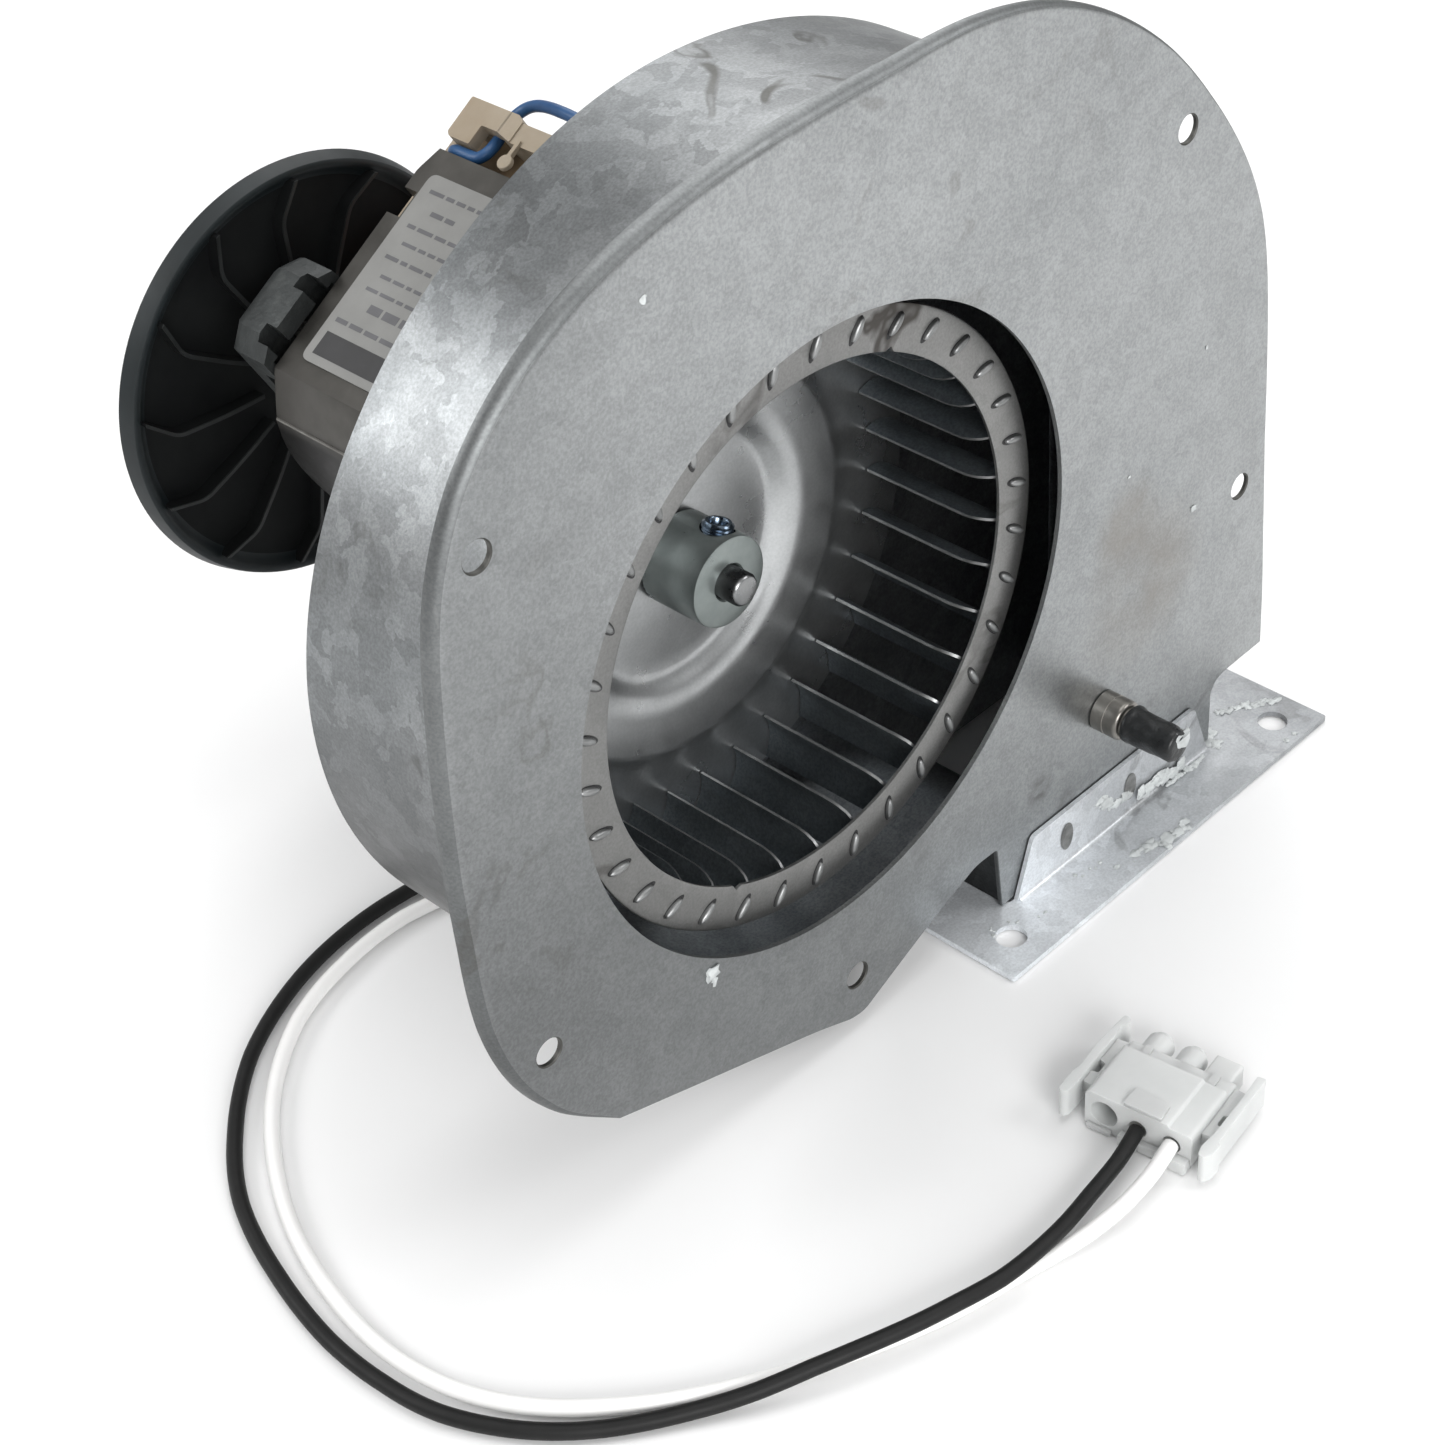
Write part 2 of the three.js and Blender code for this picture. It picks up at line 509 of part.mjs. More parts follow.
// ---------- leads and their connector, lying on the surface under the flange ----------
const FLAT = FLOOR + LEAD_R + 0.1;
const CON_HALF = 5.4;          // half the connector's thickness
const CON_Z = FLOOR + CON_HALF + 0.1;
const [turnCos, turnSin] = polar(1, MOTOR_TURN);
const atMotor = (u, y, v) => [u * turnCos - v * turnSin, y, u * turnSin + v * turnCos];
const blackRoute = [
  atMotor(44.0, 81.2, -19.5), atMotor(44.0, 77.6, -19.5), [47.6, 67.4, 2.5], [47.4, 63.0, -8.2],
  [46.4, 64.5, -24.0], [42.0, 72.0, -44.0], [35.0, 82.5, -64.0], [20.0, 98.0, -92.0],
  [-6.0, 112.0, FLAT + 1.8],
  [-36.0, 119.4, FLAT], [-54.8, 120.1, FLAT], [-76.6, 116.0, FLAT], [-101.4, 104.0, FLAT],
  [-120.6, 85.7, FLAT], [-132.3, 68.5, FLAT], [-140.0, 46.4, FLAT], [-144.4, 22.7, FLAT],
  [-144.2, 5.0, FLAT], [-141.5, -9.9, FLAT], [-133.2, -26.1, FLAT], [-121.9, -38.8, FLAT],
  [-106.8, -50.1, FLAT + 0.6], [-95.9, -57.4, FLAT + 2.2], [-84.5, -63.0, FLAT + 3.6],
  [-73.7, -67.9, FLAT + 4.3], [-62.1, -72.3, FLAT + 4.4], [-51.9, -75.4, FLAT + 4.4],
  [-41.2, -78.2, FLAT + 4.4], [-31.0, -79.1, FLAT + 4.3], [-20.2, -78.9, FLAT + 4.0],
  [-9.3, -77.5, CON_Z], [2.4, -76.1, CON_Z], [12.3, -73.7, CON_Z],
];
const whiteRoute = [
  atMotor(49.0, 81.2, -19.5), atMotor(49.0, 77.6, -19.5), [52.0, 67.4, 5.1], [52.2, 63.0, -5.6],
  [51.2, 63.4, -22.0], [46.4, 69.0, -42.0], [37.4, 77.0, -64.0], [16.0, 91.0, -93.0],
  [-14.0, 105.0, FLAT + 1.8],
  [-46.0, 113.0, FLAT], [-66.1, 111.4, FLAT], [-86.6, 104.6, FLAT], [-105.6, 90.1, FLAT],
  [-118.8, 73.6, FLAT], [-129.4, 53.8, FLAT], [-135.7, 33.3, FLAT], [-138.3, 12.3, FLAT],
  [-135.6, -7.0, FLAT], [-128.0, -22.9, FLAT], [-116.8, -36.0, FLAT], [-103.9, -47.2, FLAT],
  [-86.7, -58.0, FLAT], [-68.7, -67.3, FLAT], [-50.7, -74.2, FLAT], [-35.9, -77.7, FLAT],
  [-25.9, -80.3, FLAT], [-16.7, -83.0, FLAT + 1.2], [-6.9, -84.6, FLAT + 2.8],
  [3.8, -84.2, CON_Z], [13.5, -82.25, CON_Z],
];
add("black_lead", wire(blackRoute, LEAD_R, 72), "blackWire");
add("white_lead", wire(whiteRoute, LEAD_R, 72), "whiteWire");

// The connector lies turned by a few degrees; its own x runs along the latches and y across the circuits.
const PITCH = 8.7;
const cavities = [PITCH, 0, -PITCH];
const connector = new THREE.Group();
connector.position.set(12.6, -73.6, CON_Z);
connector.rotation.z = rad(8);
frame.add(connector);
function alongX(r, x0, x1, y, z, count) {
  const geometry = new THREE.CylinderGeometry(r, r, x1 - x0, count);
  geometry.rotateZ(Math.PI / 2);
  geometry.translate((x0 + x1) / 2, y, z);
  return geometry;
}
const BODY_X = 17.0;           // the full-height body, then a lower collar, then the three silos
const COLLAR_X = 21.5;
const SILO_X = 28.6;
const HALF_Y = PITCH + 5.0;
const shell = [
  box(0, BODY_X, -HALF_Y, HALF_Y, -CON_HALF, CON_HALF),
  box(BODY_X - 0.5, COLLAR_X, -HALF_Y, HALF_Y, -CON_HALF + 0.8, 3.0),
  box(-2.6, 0.5, -HALF_Y, PITCH - 4.6, -CON_HALF, -3.0),
];
const bores = [];
cavities.forEach((y, i) => {
  if (i < 2) shell.push(alongX(3.5, COLLAR_X - 0.5, SILO_X, y, -0.6, 16));
  else shell.push(box(COLLAR_X - 0.5, SILO_X - 0.8, y - 3.4, y + 3.4, -4.0, 2.8));
  bores.push(alongX(2.5, -3, SILO_X + 1, y, 0, 12));
});
for (const side of [-1, 1]) {
  const span = (a, b) => [a * side, b * side].sort((p, q) => p - q);
  shell.push(box(4.6, 20.6, ...span(HALF_Y - 0.2, HALF_Y + 3.6), -3.6, -1.2));
  shell.push(box(-2.0, 25.8, ...span(HALF_Y + 3.4, HALF_Y + 5.4), -3.6, 2.6));
}
add("connector_housing", cut(join(...shell), ...bores), "naturalNylon", connector);
[1, 2].forEach((k) => {
  add(`contact_${k}`, alongX(1.5, 3.0, SILO_X - 3.6, cavities[k], 0, 10), "brass", connector);
});

export default root;
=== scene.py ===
"""Combustion fan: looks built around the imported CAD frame. Sizes are in millimetres in the shaft's frame,
turned into metres in the row frame by shaft_point() and motor_point()."""
import math
import random

import bmesh
import bpy
from mathutils import Matrix, Vector, geometry


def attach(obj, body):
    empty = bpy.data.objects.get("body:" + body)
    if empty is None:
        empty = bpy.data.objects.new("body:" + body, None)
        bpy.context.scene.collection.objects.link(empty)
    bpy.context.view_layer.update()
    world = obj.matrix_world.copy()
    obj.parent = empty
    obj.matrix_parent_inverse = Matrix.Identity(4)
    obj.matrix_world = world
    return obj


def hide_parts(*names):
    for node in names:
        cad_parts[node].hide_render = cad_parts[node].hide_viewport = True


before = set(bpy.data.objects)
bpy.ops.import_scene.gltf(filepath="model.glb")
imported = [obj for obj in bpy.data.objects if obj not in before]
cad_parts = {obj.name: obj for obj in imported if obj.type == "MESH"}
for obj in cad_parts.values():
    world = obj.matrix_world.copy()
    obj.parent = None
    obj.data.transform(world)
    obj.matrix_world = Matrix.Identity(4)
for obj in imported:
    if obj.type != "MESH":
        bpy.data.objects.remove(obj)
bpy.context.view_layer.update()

TURN = math.radians(32)
COS, SIN = math.cos(TURN), math.sin(TURN)


def shaft_point(x, y, z):
    return Vector((x - 102.25, y - 27.0, z + 116.4)) / 1000


def motor_point(u, y, v):
    return shaft_point(u * COS - v * SIN, y, u * SIN + v * COS)


# ---------- camera ----------
def make_camera():
    az, el, roll = math.radians(-45.95), math.radians(38.15), math.radians(-2.89)
    back = Vector((math.sin(az) * math.cos(el), -math.cos(az) * math.cos(el), math.sin(el)))
    right = Vector((math.cos(az), math.sin(az), 0))
    up = back.cross(right)
    turned_right = right * math.cos(roll) + up * math.sin(roll)
    turned_up = up * math.cos(roll) - right * math.sin(roll)
    data = bpy.data.cameras.new("camera")
    data.sensor_width = 36
    data.lens = 68.93
    data.shift_x = -0.0790
    data.shift_y = -0.0104
    data.clip_start = 0.02
    data.clip_end = 20
    camera = bpy.data.objects.new("camera", data)
    bpy.context.scene.collection.objects.link(camera)
    place = Matrix((turned_right, turned_up, back)).transposed().to_4x4()
    place.translation = shaft_point(-341.2, -328.0, 353.3)
    camera.matrix_world = place
    bpy.context.scene.camera = camera


make_camera()


# ---------- materials ----------
def new_material(name):
    material = bpy.data.materials.new(name)
    material.use_nodes = True
    tree = material.node_tree
    return material, tree, tree.nodes["Principled BSDF"]


def node(tree, kind, inputs=None, **settings):
    made = tree.nodes.new(kind)
    for key, value in settings.items():
        setattr(made, key, value)
    for key, value in (inputs or {}).items():
        if isinstance(value, bpy.types.NodeSocket):
            tree.links.new(value, made.inputs[key])
        else:
            made.inputs[key].default_value = value
    return made


def noise(tree, vector, scale, detail=4.0, rough=0.55, distortion=0.0):
    return node(tree, "ShaderNodeTexNoise", {
        "Vector": vector, "Scale": scale, "Detail": detail, "Roughness": rough,
        "Distortion": distortion}).outputs["Fac"]


def ramp(tree, factor, stops):
    made = node(tree, "ShaderNodeValToRGB", {"Fac": factor})
    elements = made.color_ramp.elements
    while len(elements) < len(stops):
        elements.new(0.5)
    for element, (place, colour) in zip(elements, stops):
        element.position = place
        element.color = (*colour, 1) if len(colour) == 3 else colour
    return made.outputs["Color"]


def grey(value):
    return (value, value, value)


def mix(tree, factor, a, b, blend="MIX"):
    made = node(tree, "ShaderNodeMix", data_type="RGBA", blend_type=blend)
    for key, value in ((0, factor), (6, a), (7, b)):
        if isinstance(value, bpy.types.NodeSocket):
            tree.links.new(value, made.inputs[key])
        else:
            made.inputs[key].default_value = value if key == 0 else (*value[:3], 1)
    return made.outputs[2]


def bump(tree, shader, height, strength, distance, normal=None):
    inputs = {"Height": height, "Strength": strength, "Distance": distance}
    if normal is not None:
        inputs["Normal"] = normal
    made = node(tree, "ShaderNodeBump", inputs)
    tree.links.new(made.outputs["Normal"], shader.inputs["Normal"])
    return made.outputs["Normal"]


def coordinates(tree, scale=(1, 1, 1), turn=(0, 0, 0)):
    coords = node(tree, "ShaderNodeTexCoord").outputs["Object"]
    return node(tree, "ShaderNodeMapping", {"Vector": coords, "Scale": scale, "Rotation": turn}).outputs["Vector"]


def sheet_steel(name, light, dark, rough=(0.30, 0.42), stain=(0.12, 0.11, 0.095), stains=0.5, spangle=0.2,
                metallic=0.95, dents=0.0005, speckle=0.16, painted_shade=None, grain=0.22, smudges=()):
    """Galvanised or bare sheet: cloudy colour, fine zinc speckle and spangle, brown water marks, scratches, and, if
    asked, painted shade towards one side.
    """
    material, tree, shader = new_material(name)
    place = coordinates(tree)
    clouds = noise(tree, place, 14, 6, 0.62, 0.3)
    base = ramp(tree, clouds, [(0.3, dark), (0.5, [(a + b) / 2 for a, b in zip(light, dark)]), (0.72, light)])
    warped = mix(tree, 0.012, place, node(tree, "ShaderNodeTexNoise", {
        "Vector": place, "Scale": 160.0, "Detail": 3.0}).outputs["Color"], "ADD")
    cells = node(tree, "ShaderNodeTexVoronoi", {"Vector": warped, "Scale": 210.0}).outputs["Color"]
    flakes = node(tree, "ShaderNodeRGBToBW", {"Color": cells}).outputs["Val"]
    base = mix(tree, 1.0, base, ramp(tree, flakes, [(0.25, grey(1 - spangle)), (0.8, grey(1 + spangle))]), "MULTIPLY")
    dust = noise(tree, place, 1500, 2, 0.6)
    base = mix(tree, 1.0, base, ramp(tree, dust, [(0.36, grey(1 - speckle)), (0.64, grey(1 + speckle))]), "MULTIPLY")
    marks = noise(tree, place, 34, 3, 0.5, 1.6)
    rings = ramp(tree, marks, [(0.6, grey(0)), (0.64, grey(1)), (0.655, grey(1)), (0.7, grey(0))])
    spots = ramp(tree, noise(tree, place, 9, 2), [(0.5, grey(0)), (0.62, grey(1))])
    stain_mask = mix(tree, 1.0, rings, spots, "MULTIPLY")
    stain_strength = node(tree, "ShaderNodeMath", {0: stain_mask, 1: stains}, operation="MULTIPLY").outputs[0]
    base = mix(tree, stain_strength, base, stain)
    streaks = noise(tree, coordinates(tree, (1, 1, 0.08), (0.2, 0.9, 0.3)), 420, 2, 0.5)
    scratch = ramp(tree, streaks, [(0.72, grey(0)), (0.76, grey(1))])
    base = mix(tree, node(tree, "ShaderNodeMath", {0: scratch, 1: 0.10}, operation="MULTIPLY").outputs[0],
               base, (0.5, 0.5, 0.49))
    if painted_shade:
        # Painted shade: the colour is darkened towards one side, where less light falls on the sheet.
        direction, low, high, stops = painted_shade
        along = node(tree, "ShaderNodeVectorMath", {0: place, 1: direction}, operation="DOT_PRODUCT")
        share = node(tree, "ShaderNodeMapRange", {"Value": along.outputs["Value"], "From Min": low,
                                                "From Max": high}).outputs["Result"]
        base = mix(tree, 1.0, base, ramp(tree, share, [(at, grey(value)) for at, value in stops]), "MULTIPLY")
    for centre, reach, colour, strength in smudges:
        base = smudge(tree, place, base, centre, reach, colour, strength)
    tree.links.new(base, shader.inputs["Base Color"])
    shader.inputs["Metallic"].default_value = metallic
    tree.links.new(ramp(tree, noise(tree, place, 46, 5, 0.6), [(0.3, grey(rough[0])), (0.75, grey(rough[1]))]),
                   shader.inputs["Roughness"])
    broad = bump(tree, shader, noise(tree, place, 11, 2, 0.4), 0.6, dents)
    bump(tree, shader, noise(tree, place, 1100, 3, 0.6), grain, 0.00012, broad)
    return material


def smudge(tree, place, base, centre, reach, colour, strength):
    """A soft patch round one point of a sheet, broken up by noise: a weld's tint or a water mark."""
    gap = node(tree, "ShaderNodeVectorMath", {0: place, 1: tuple(centre)}, operation="DISTANCE").outputs["Value"]
    near = node(tree, "ShaderNodeMapRange", {"Value": gap, "From Min": reach, "From Max": reach * 0.45,
                                             "To Min": 0.0, "To Max": strength}).outputs["Result"]
    broken = ramp(tree, noise(tree, place, 0.9 / reach, 4, 0.6, 0.8), [(0.34, grey(0.15)), (0.6, grey(1))])
    return mix(tree, mix(tree, 1.0, near, broken, "MULTIPLY"), base, colour)


def plain(name, colours, rough=(0.4, 0.55), metallic=0.0, scale=60, grain=600, grain_depth=0.00006,
          strength=0.25, painted_shade_below=None, **sockets):
    """A surface with mottled colour, varied roughness and a fine grain, with painted shade below a height if asked."""
    material, tree, shader = new_material(name)
    place = coordinates(tree)
    stops = [(0.3 + 0.42 * i / max(len(colours) - 1, 1), c) for i, c in enumerate(colours)]
    colour = ramp(tree, noise(tree, place, scale, 5, 0.6), stops)
    if painted_shade_below:
        # Painted shade: the colour is darkened below a given height.
        height = node(tree, "ShaderNodeSeparateXYZ", {"Vector": place}).outputs["Z"]
        share = node(tree, "ShaderNodeMapRange", {"Value": height, "From Min": painted_shade_below[0], "From Max": painted_shade_below[1],
                                                "To Min": painted_shade_below[2], "To Max": 1.0}).outputs["Result"]
        colour = mix(tree, 1.0, colour, share, "MULTIPLY")
    tree.links.new(colour, shader.inputs["Base Color"])
    tree.links.new(ramp(tree, noise(tree, place, scale * 1.7, 4, 0.6),
                        [(0.3, grey(rough[0])), (0.72, grey(rough[1]))]), shader.inputs["Roughness"])
    shader.inputs["Metallic"].default_value = metallic
    for key, value in sockets.items():
        shader.inputs[key.replace("_", " ")].default_value = value
    bump(tree, shader, noise(tree, place, grain, 3, 0.6), strength, grain_depth)
    return material


def wound(material, pitch):
    """Ridges along the coil, with painted shade between turns of wire laid side by side and a slight painted highlight
    on each turn's crest.
    """
    tree = material.node_tree
    shader = next(n for n in tree.nodes if n.type == "BSDF_PRINCIPLED")
    along = node(tree, "ShaderNodeVectorMath", {0: coordinates(tree), 1: (-SIN, 0.0, COS)}, operation="DOT_PRODUCT")
    phase = node(tree, "ShaderNodeMath", {0: along.outputs["Value"], 1: 2 * math.pi / pitch}, operation="MULTIPLY")
    ridge = node(tree, "ShaderNodeMath", {0: phase.outputs["Value"]}, operation="SINE").outputs["Value"]
    # Painted shade between the turns and a slight painted highlight on their crests.
    turn_shade = ramp(tree, node(tree, "ShaderNodeMapRange", {"Value": ridge, "From Min": -1.0}).outputs["Result"],
                [(0.0, grey(0.3)), (0.35, grey(0.85)), (1.0, grey(1.1))])
    colour = shader.inputs["Base Color"].links[0].from_socket
    tree.links.new(mix(tree, 1.0, colour, turn_shade, "MULTIPLY"), shader.inputs["Base Color"])
    bump(tree, shader, ridge, 0.5, 0.0002)
    return material


def on_plate(x, z):
    return shaft_point(x, 0.0, z)


# Painted shade: the plate's zinc is darkened towards its lower left, where less light falls.
PLATE = sheet_steel("plate_zinc", (0.376, 0.388, 0.392), (0.308, 0.32, 0.324), stains=0.3, spangle=0.045,
                    speckle=0.11, painted_shade=((0.85, 0.0, 0.52), -0.15, 0.01, [(0, 0.52), (1, 1.0)]), smudges=[
                        (on_plate(108, -46), 0.026, (0.24, 0.215, 0.185), 0.5),
                        (on_plate(101, -24), 0.014, (0.24, 0.215, 0.185), 0.45),
                        (on_plate(68, -86), 0.0055, (0.15, 0.15, 0.15), 0.75),
                        (on_plate(25, -75), 0.0055, (0.17, 0.17, 0.17), 0.6),
                        (on_plate(79, -97), 0.005, (0.17, 0.17, 0.17), 0.5)])
# Painted shade: the rolled rim is a darker copy of the plate's zinc, for the dark the fold reflects, and darker still
# towards its lower left.
RIM_ZINC_SHADE = sheet_steel("rolled_rim_zinc_painted_shade", (0.24, 0.25, 0.252), (0.18, 0.188, 0.19), rough=(0.42, 0.56), stains=0.4,
                       spangle=0.04, speckle=0.1, painted_shade=((0.6, 0.0, 0.8), -0.10, 0.10, [(0, 0.6), (1, 1.0)]))
# Painted shade: the wrapper's zinc darkens steeply towards the bottom and a little towards the top, leaving its lit
# middle band at full colour.
WRAP = sheet_steel("wrapper_zinc", (0.36, 0.37, 0.375), (0.25, 0.265, 0.272), rough=(0.34, 0.48), stains=0.85,
                   spangle=0.14, speckle=0.12, stain=(0.10, 0.098, 0.09), painted_shade=((0.5, 0.0, 1.0), -0.05, 0.19, [
                       (0, 0.08), (0.09, 0.1), (0.215, 0.36), (0.36, 0.72), (0.5, 1.0), (0.62, 0.98), (0.75, 0.78)]))
INSIDE = sheet_steel("inner_zinc", (0.34, 0.35, 0.36), (0.24, 0.25, 0.26), stains=0.5, spangle=0.08)
# Painted shade: the flange's colour is darkened towards its right end, against the light it catches there.
FLANGE = sheet_steel("flange_zinc", (0.92, 0.95, 0.98), (0.66, 0.69, 0.72), rough=(0.3, 0.46), dents=0.0009,
                     spangle=0.08, speckle=0.08, metallic=0.4, stains=0.35,
                     painted_shade=((1.0, 0.0, 0.0), -0.066, 0.066, [(0, 1.0), (0.2, 0.95), (0.45, 0.6), (1, 0.36)]))
WHEEL = sheet_steel("wheel_steel", (0.265, 0.265, 0.26), (0.19, 0.19, 0.186), rough=(0.36, 0.5),
                    stain=(0.06, 0.055, 0.05), stains=0.95, spangle=0.04, speckle=0.08, grain=0.14)
BLADE = sheet_steel("blade_steel", (0.32, 0.35, 0.37), (0.20, 0.225, 0.245), rough=(0.34, 0.48), stains=0.4,
                    spangle=0.05)
EDGE = plain("bright_edge", [(0.20, 0.205, 0.205), (0.36, 0.365, 0.365)], (0.36, 0.5), 1.0, 160)
SLOT = plain("slot_shadow", [(0.02, 0.02, 0.021), (0.05, 0.05, 0.051)], (0.5, 0.6), 0.6, 160)
DISH = sheet_steel("dish_steel", (0.56, 0.575, 0.58), (0.38, 0.39, 0.395), rough=(0.24, 0.38), stains=0.5,
                   spangle=0.02, speckle=0.05, grain=0.1)
HUB = plain("hub_zinc", [(0.19, 0.215, 0.21), (0.27, 0.30, 0.292)], (0.26, 0.4), 0.75, 120)
SCREW = plain("screw_zinc", [(0.08, 0.11, 0.15), (0.28, 0.35, 0.43)], (0.16, 0.3), 1.0, 200)
SHAFT = plain("shaft_steel", [(0.20, 0.205, 0.21), (0.34, 0.345, 0.345)], (0.24, 0.36), 1.0, 150)
TAP = plain("tap_steel", [(0.20, 0.19, 0.175), (0.34, 0.325, 0.30)], (0.28, 0.4), 0.95, 90)
RUBBER = plain("cap_rubber", [(0.004, 0.0045, 0.005), (0.016, 0.018, 0.019)], (0.26, 0.5), 0.0, 220, 700, 0.0003, 0.7)
SEALANT = plain("sealant", [(0.42, 0.44, 0.44), (0.68, 0.71, 0.71)], (0.5, 0.7), 0.0, 180, 500, 0.0002, 0.5)
# Painted shade: the stack's side goes nearly black below its weld bead, where it curves under.
LAMINATION = plain("laminations", [(0.066, 0.063, 0.057), (0.105, 0.10, 0.092)], (0.36, 0.48), 0.6, 70,
                   painted_shade_below=(0.1285, 0.1335, 0.04))
CAST = plain("cast_metal", [(0.035, 0.038, 0.038), (0.055, 0.06, 0.06), (0.115, 0.122, 0.118)], (0.42, 0.58), 0.6,
             70, 420, 0.0003, 0.7)
BRONZE = plain("bearing_bronze", [(0.33, 0.24, 0.13), (0.5, 0.38, 0.22)], (0.35, 0.5), 1.0, 150)
COPPER = wound(plain("magnet_wire", [(0.27, 0.09, 0.037), (0.34, 0.125, 0.052)], (0.3, 0.42), 0.9, 90), 0.0009)
PLATED = plain("plated_steel", [(0.45, 0.45, 0.42), (0.62, 0.62, 0.58)], (0.3, 0.42), 1.0, 150)
CREAM = plain("cream_nylon", [(0.30, 0.24, 0.17), (0.385, 0.33, 0.255)], (0.42, 0.56), 0.0, 50, 400, 0.00008, 0.3,
              Subsurface_Weight=0.12, Subsurface_Scale=0.002, Subsurface_Radius=(1, 0.8, 0.6))
# Painted shade: a darker brown copy of the cream nylon, for the block's shaded lower level.
RECESS_SHADE_NYLON = plain("recess_nylon_painted_shade", [(0.13, 0.085, 0.04), (0.24, 0.17, 0.10)], (0.5, 0.6), 0.0, 60)
BLUE = plain("blue_insulation", [(0.012, 0.06, 0.17), (0.03, 0.105, 0.25)], (0.36, 0.5), 0.0, 120)
BLACK_LEAD = plain("black_insulation", [(0.003, 0.003, 0.003), (0.007, 0.007, 0.007)], (0.5, 0.6), 0.0, 120,
                   Specular_IOR_Level=0.36)
WHITE_LEAD = plain("white_insulation", [(0.93, 0.925, 0.91), (0.97, 0.965, 0.955)], (0.42, 0.54), 0.0, 60)
FAN = plain("fan_plastic", [(0.0035, 0.004, 0.0045), (0.008, 0.009, 0.009)], (0.6, 0.72), 0.0, 60, 500, 0.00006, 0.3,
            Specular_IOR_Level=0.2)
FAN_RIM = plain("fan_rim_plastic", [(0.006, 0.009, 0.010), (0.011, 0.016, 0.018)], (0.44, 0.56), 0.0, 60,
                Specular_IOR_Level=0.4)
# Painted highlight: a lighter copy of the fan plastic for the vanes' thin edges, where light catches them.
FAN_EDGE_HIGHLIGHT = plain("fan_vane_edge_painted_highlight", [(0.010, 0.011, 0.011), (0.020, 0.022, 0.022)], (0.36, 0.48), 0.0, 90)
# Painted shade: the label's paper is kept a dark grey for the shade it sits in.
PAPER = plain("label_paper", [(0.225, 0.225, 0.216), (0.27, 0.27, 0.26)], (0.36, 0.48), 0.0, 90)
INK = plain("label_ink", [(0.025, 0.025, 0.026), (0.04, 0.04, 0.042)], (0.4, 0.5), 0.0, 90)
BAR = plain("label_bar", [(0.10, 0.10, 0.105), (0.14, 0.14, 0.15)], (0.4, 0.5), 0.0, 90)
CLEAR = plain("natural_nylon", [(0.64, 0.655, 0.65), (0.74, 0.75, 0.745)], (0.36, 0.48), 0.0, 40, 300, 0.00005, 0.2,
              Transmission_Weight=0.06, Subsurface_Weight=0.5, Subsurface_Scale=0.005,
              Subsurface_Radius=(1, 1, 1), IOR=1.45)
BRASS = plain("contact_brass", [(0.5, 0.38, 0.16), (0.66, 0.52, 0.26)], (0.28, 0.4), 1.0, 150)
# Painted shade: the dark walls of the plate's holes.
PUNCHED_SHADE = plain("punched_edge_painted_shade", [(0.06, 0.06, 0.056), (0.11, 0.108, 0.10)], (0.45, 0.6), 0.7, 160)
WELD = plain("weld_mark", [(0.16, 0.16, 0.155), (0.36, 0.36, 0.35)], (0.3, 0.5), 0.9, 260)
EDGE_DULL = plain("weld_bead", [(0.14, 0.135, 0.125), (0.22, 0.215, 0.20)], (0.34, 0.5), 0.8, 160)


# ---------- mesh helpers: shapes are (vertices, faces) in millimetres ----------
def finish_mesh(name, shapes, materials, body="housing", replaces=(), at=shaft_point, crease=32,
                bevel=0.0, segments=2):
    """One object from shapes given as (vertices, faces) or (vertices, faces, material number)."""
    vertices, faces, numbers = [], [], []
    for shape in shapes:
        start = len(vertices)
        vertices += [at(*v) for v in shape[0]]
        faces += [[start + i for i in face] for face in shape[1]]
        numbers += [shape[2] if len(shape) > 2 else 0] * len(shape[1])
    data = bpy.data.meshes.new(name)
    data.from_pydata(vertices, [], faces)
    for material in materials if isinstance(materials, (list, tuple)) else [materials]:
        data.materials.append(material)
    data.polygons.foreach_set("material_index", numbers)
    work = bmesh.new()
    work.from_mesh(data)
    bmesh.ops.remove_doubles(work, verts=work.verts, dist=1e-6)
    bmesh.ops.recalc_face_normals(work, faces=work.faces)
    work.to_mesh(data)
    work.free()
    for polygon in data.polygons:
        polygon.use_smooth = True
    data.set_sharp_from_angle(angle=math.radians(crease))
    made = bpy.data.objects.new(name, data)
    bpy.context.scene.collection.objects.link(made)
    if bevel:
        add_bevel(made, bevel, segments)
    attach(made, body)
    if replaces:
        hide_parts(*replaces)
    return made


def add_bevel(made, width, segments=2, angle=35):
    rounding = made.modifiers.new("bevel", "BEVEL")
    rounding.width = width / 1000
    rounding.segments = segments
    rounding.limit_method = "ANGLE"
    rounding.angle_limit = math.radians(angle)
    rounding.harden_normals = True


def spline(knots, per_span, closed=False):
    """A centripetal Catmull-Rom curve through points of any dimension."""
    points = [Vector(k) for k in knots]
    count = len(points)
    out = []
    for i in range(count if closed else count - 1):
        if closed:
            four = [points[(i + k) % count] for k in (-1, 0, 1, 2)]
        else:
            before = points[i - 1] if i else points[0] * 2 - points[1]
            after = points[i + 2] if i + 2 < count else points[-1] * 2 - points[-2]
            four = [before, points[i], points[i + 1], after]
        times = [0.0]
        for a, b in zip(four, four[1:]):
            times.append(times[-1] + max((b - a).length, 1e-6) ** 0.5)
        for step in range(per_span):
            t = times[1] + (times[2] - times[1]) * step / per_span
            row = four
            for level in (1, 2, 3):
                row = [row[k] * ((times[k + level] - t) / (times[k + level] - times[k]))
                       + row[k + 1] * ((t - times[k]) / (times[k + level] - times[k]))
                       for k in range(len(row) - 1)]
            out.append(tuple(row[0]))
    if not closed:
        out.append(tuple(points[-1]))
    return out


def circle(radius, x, z, count=64):
    return [(x + radius * math.cos(2 * math.pi * i / count), z + radius * math.sin(2 * math.pi * i / count))
            for i in range(count)]


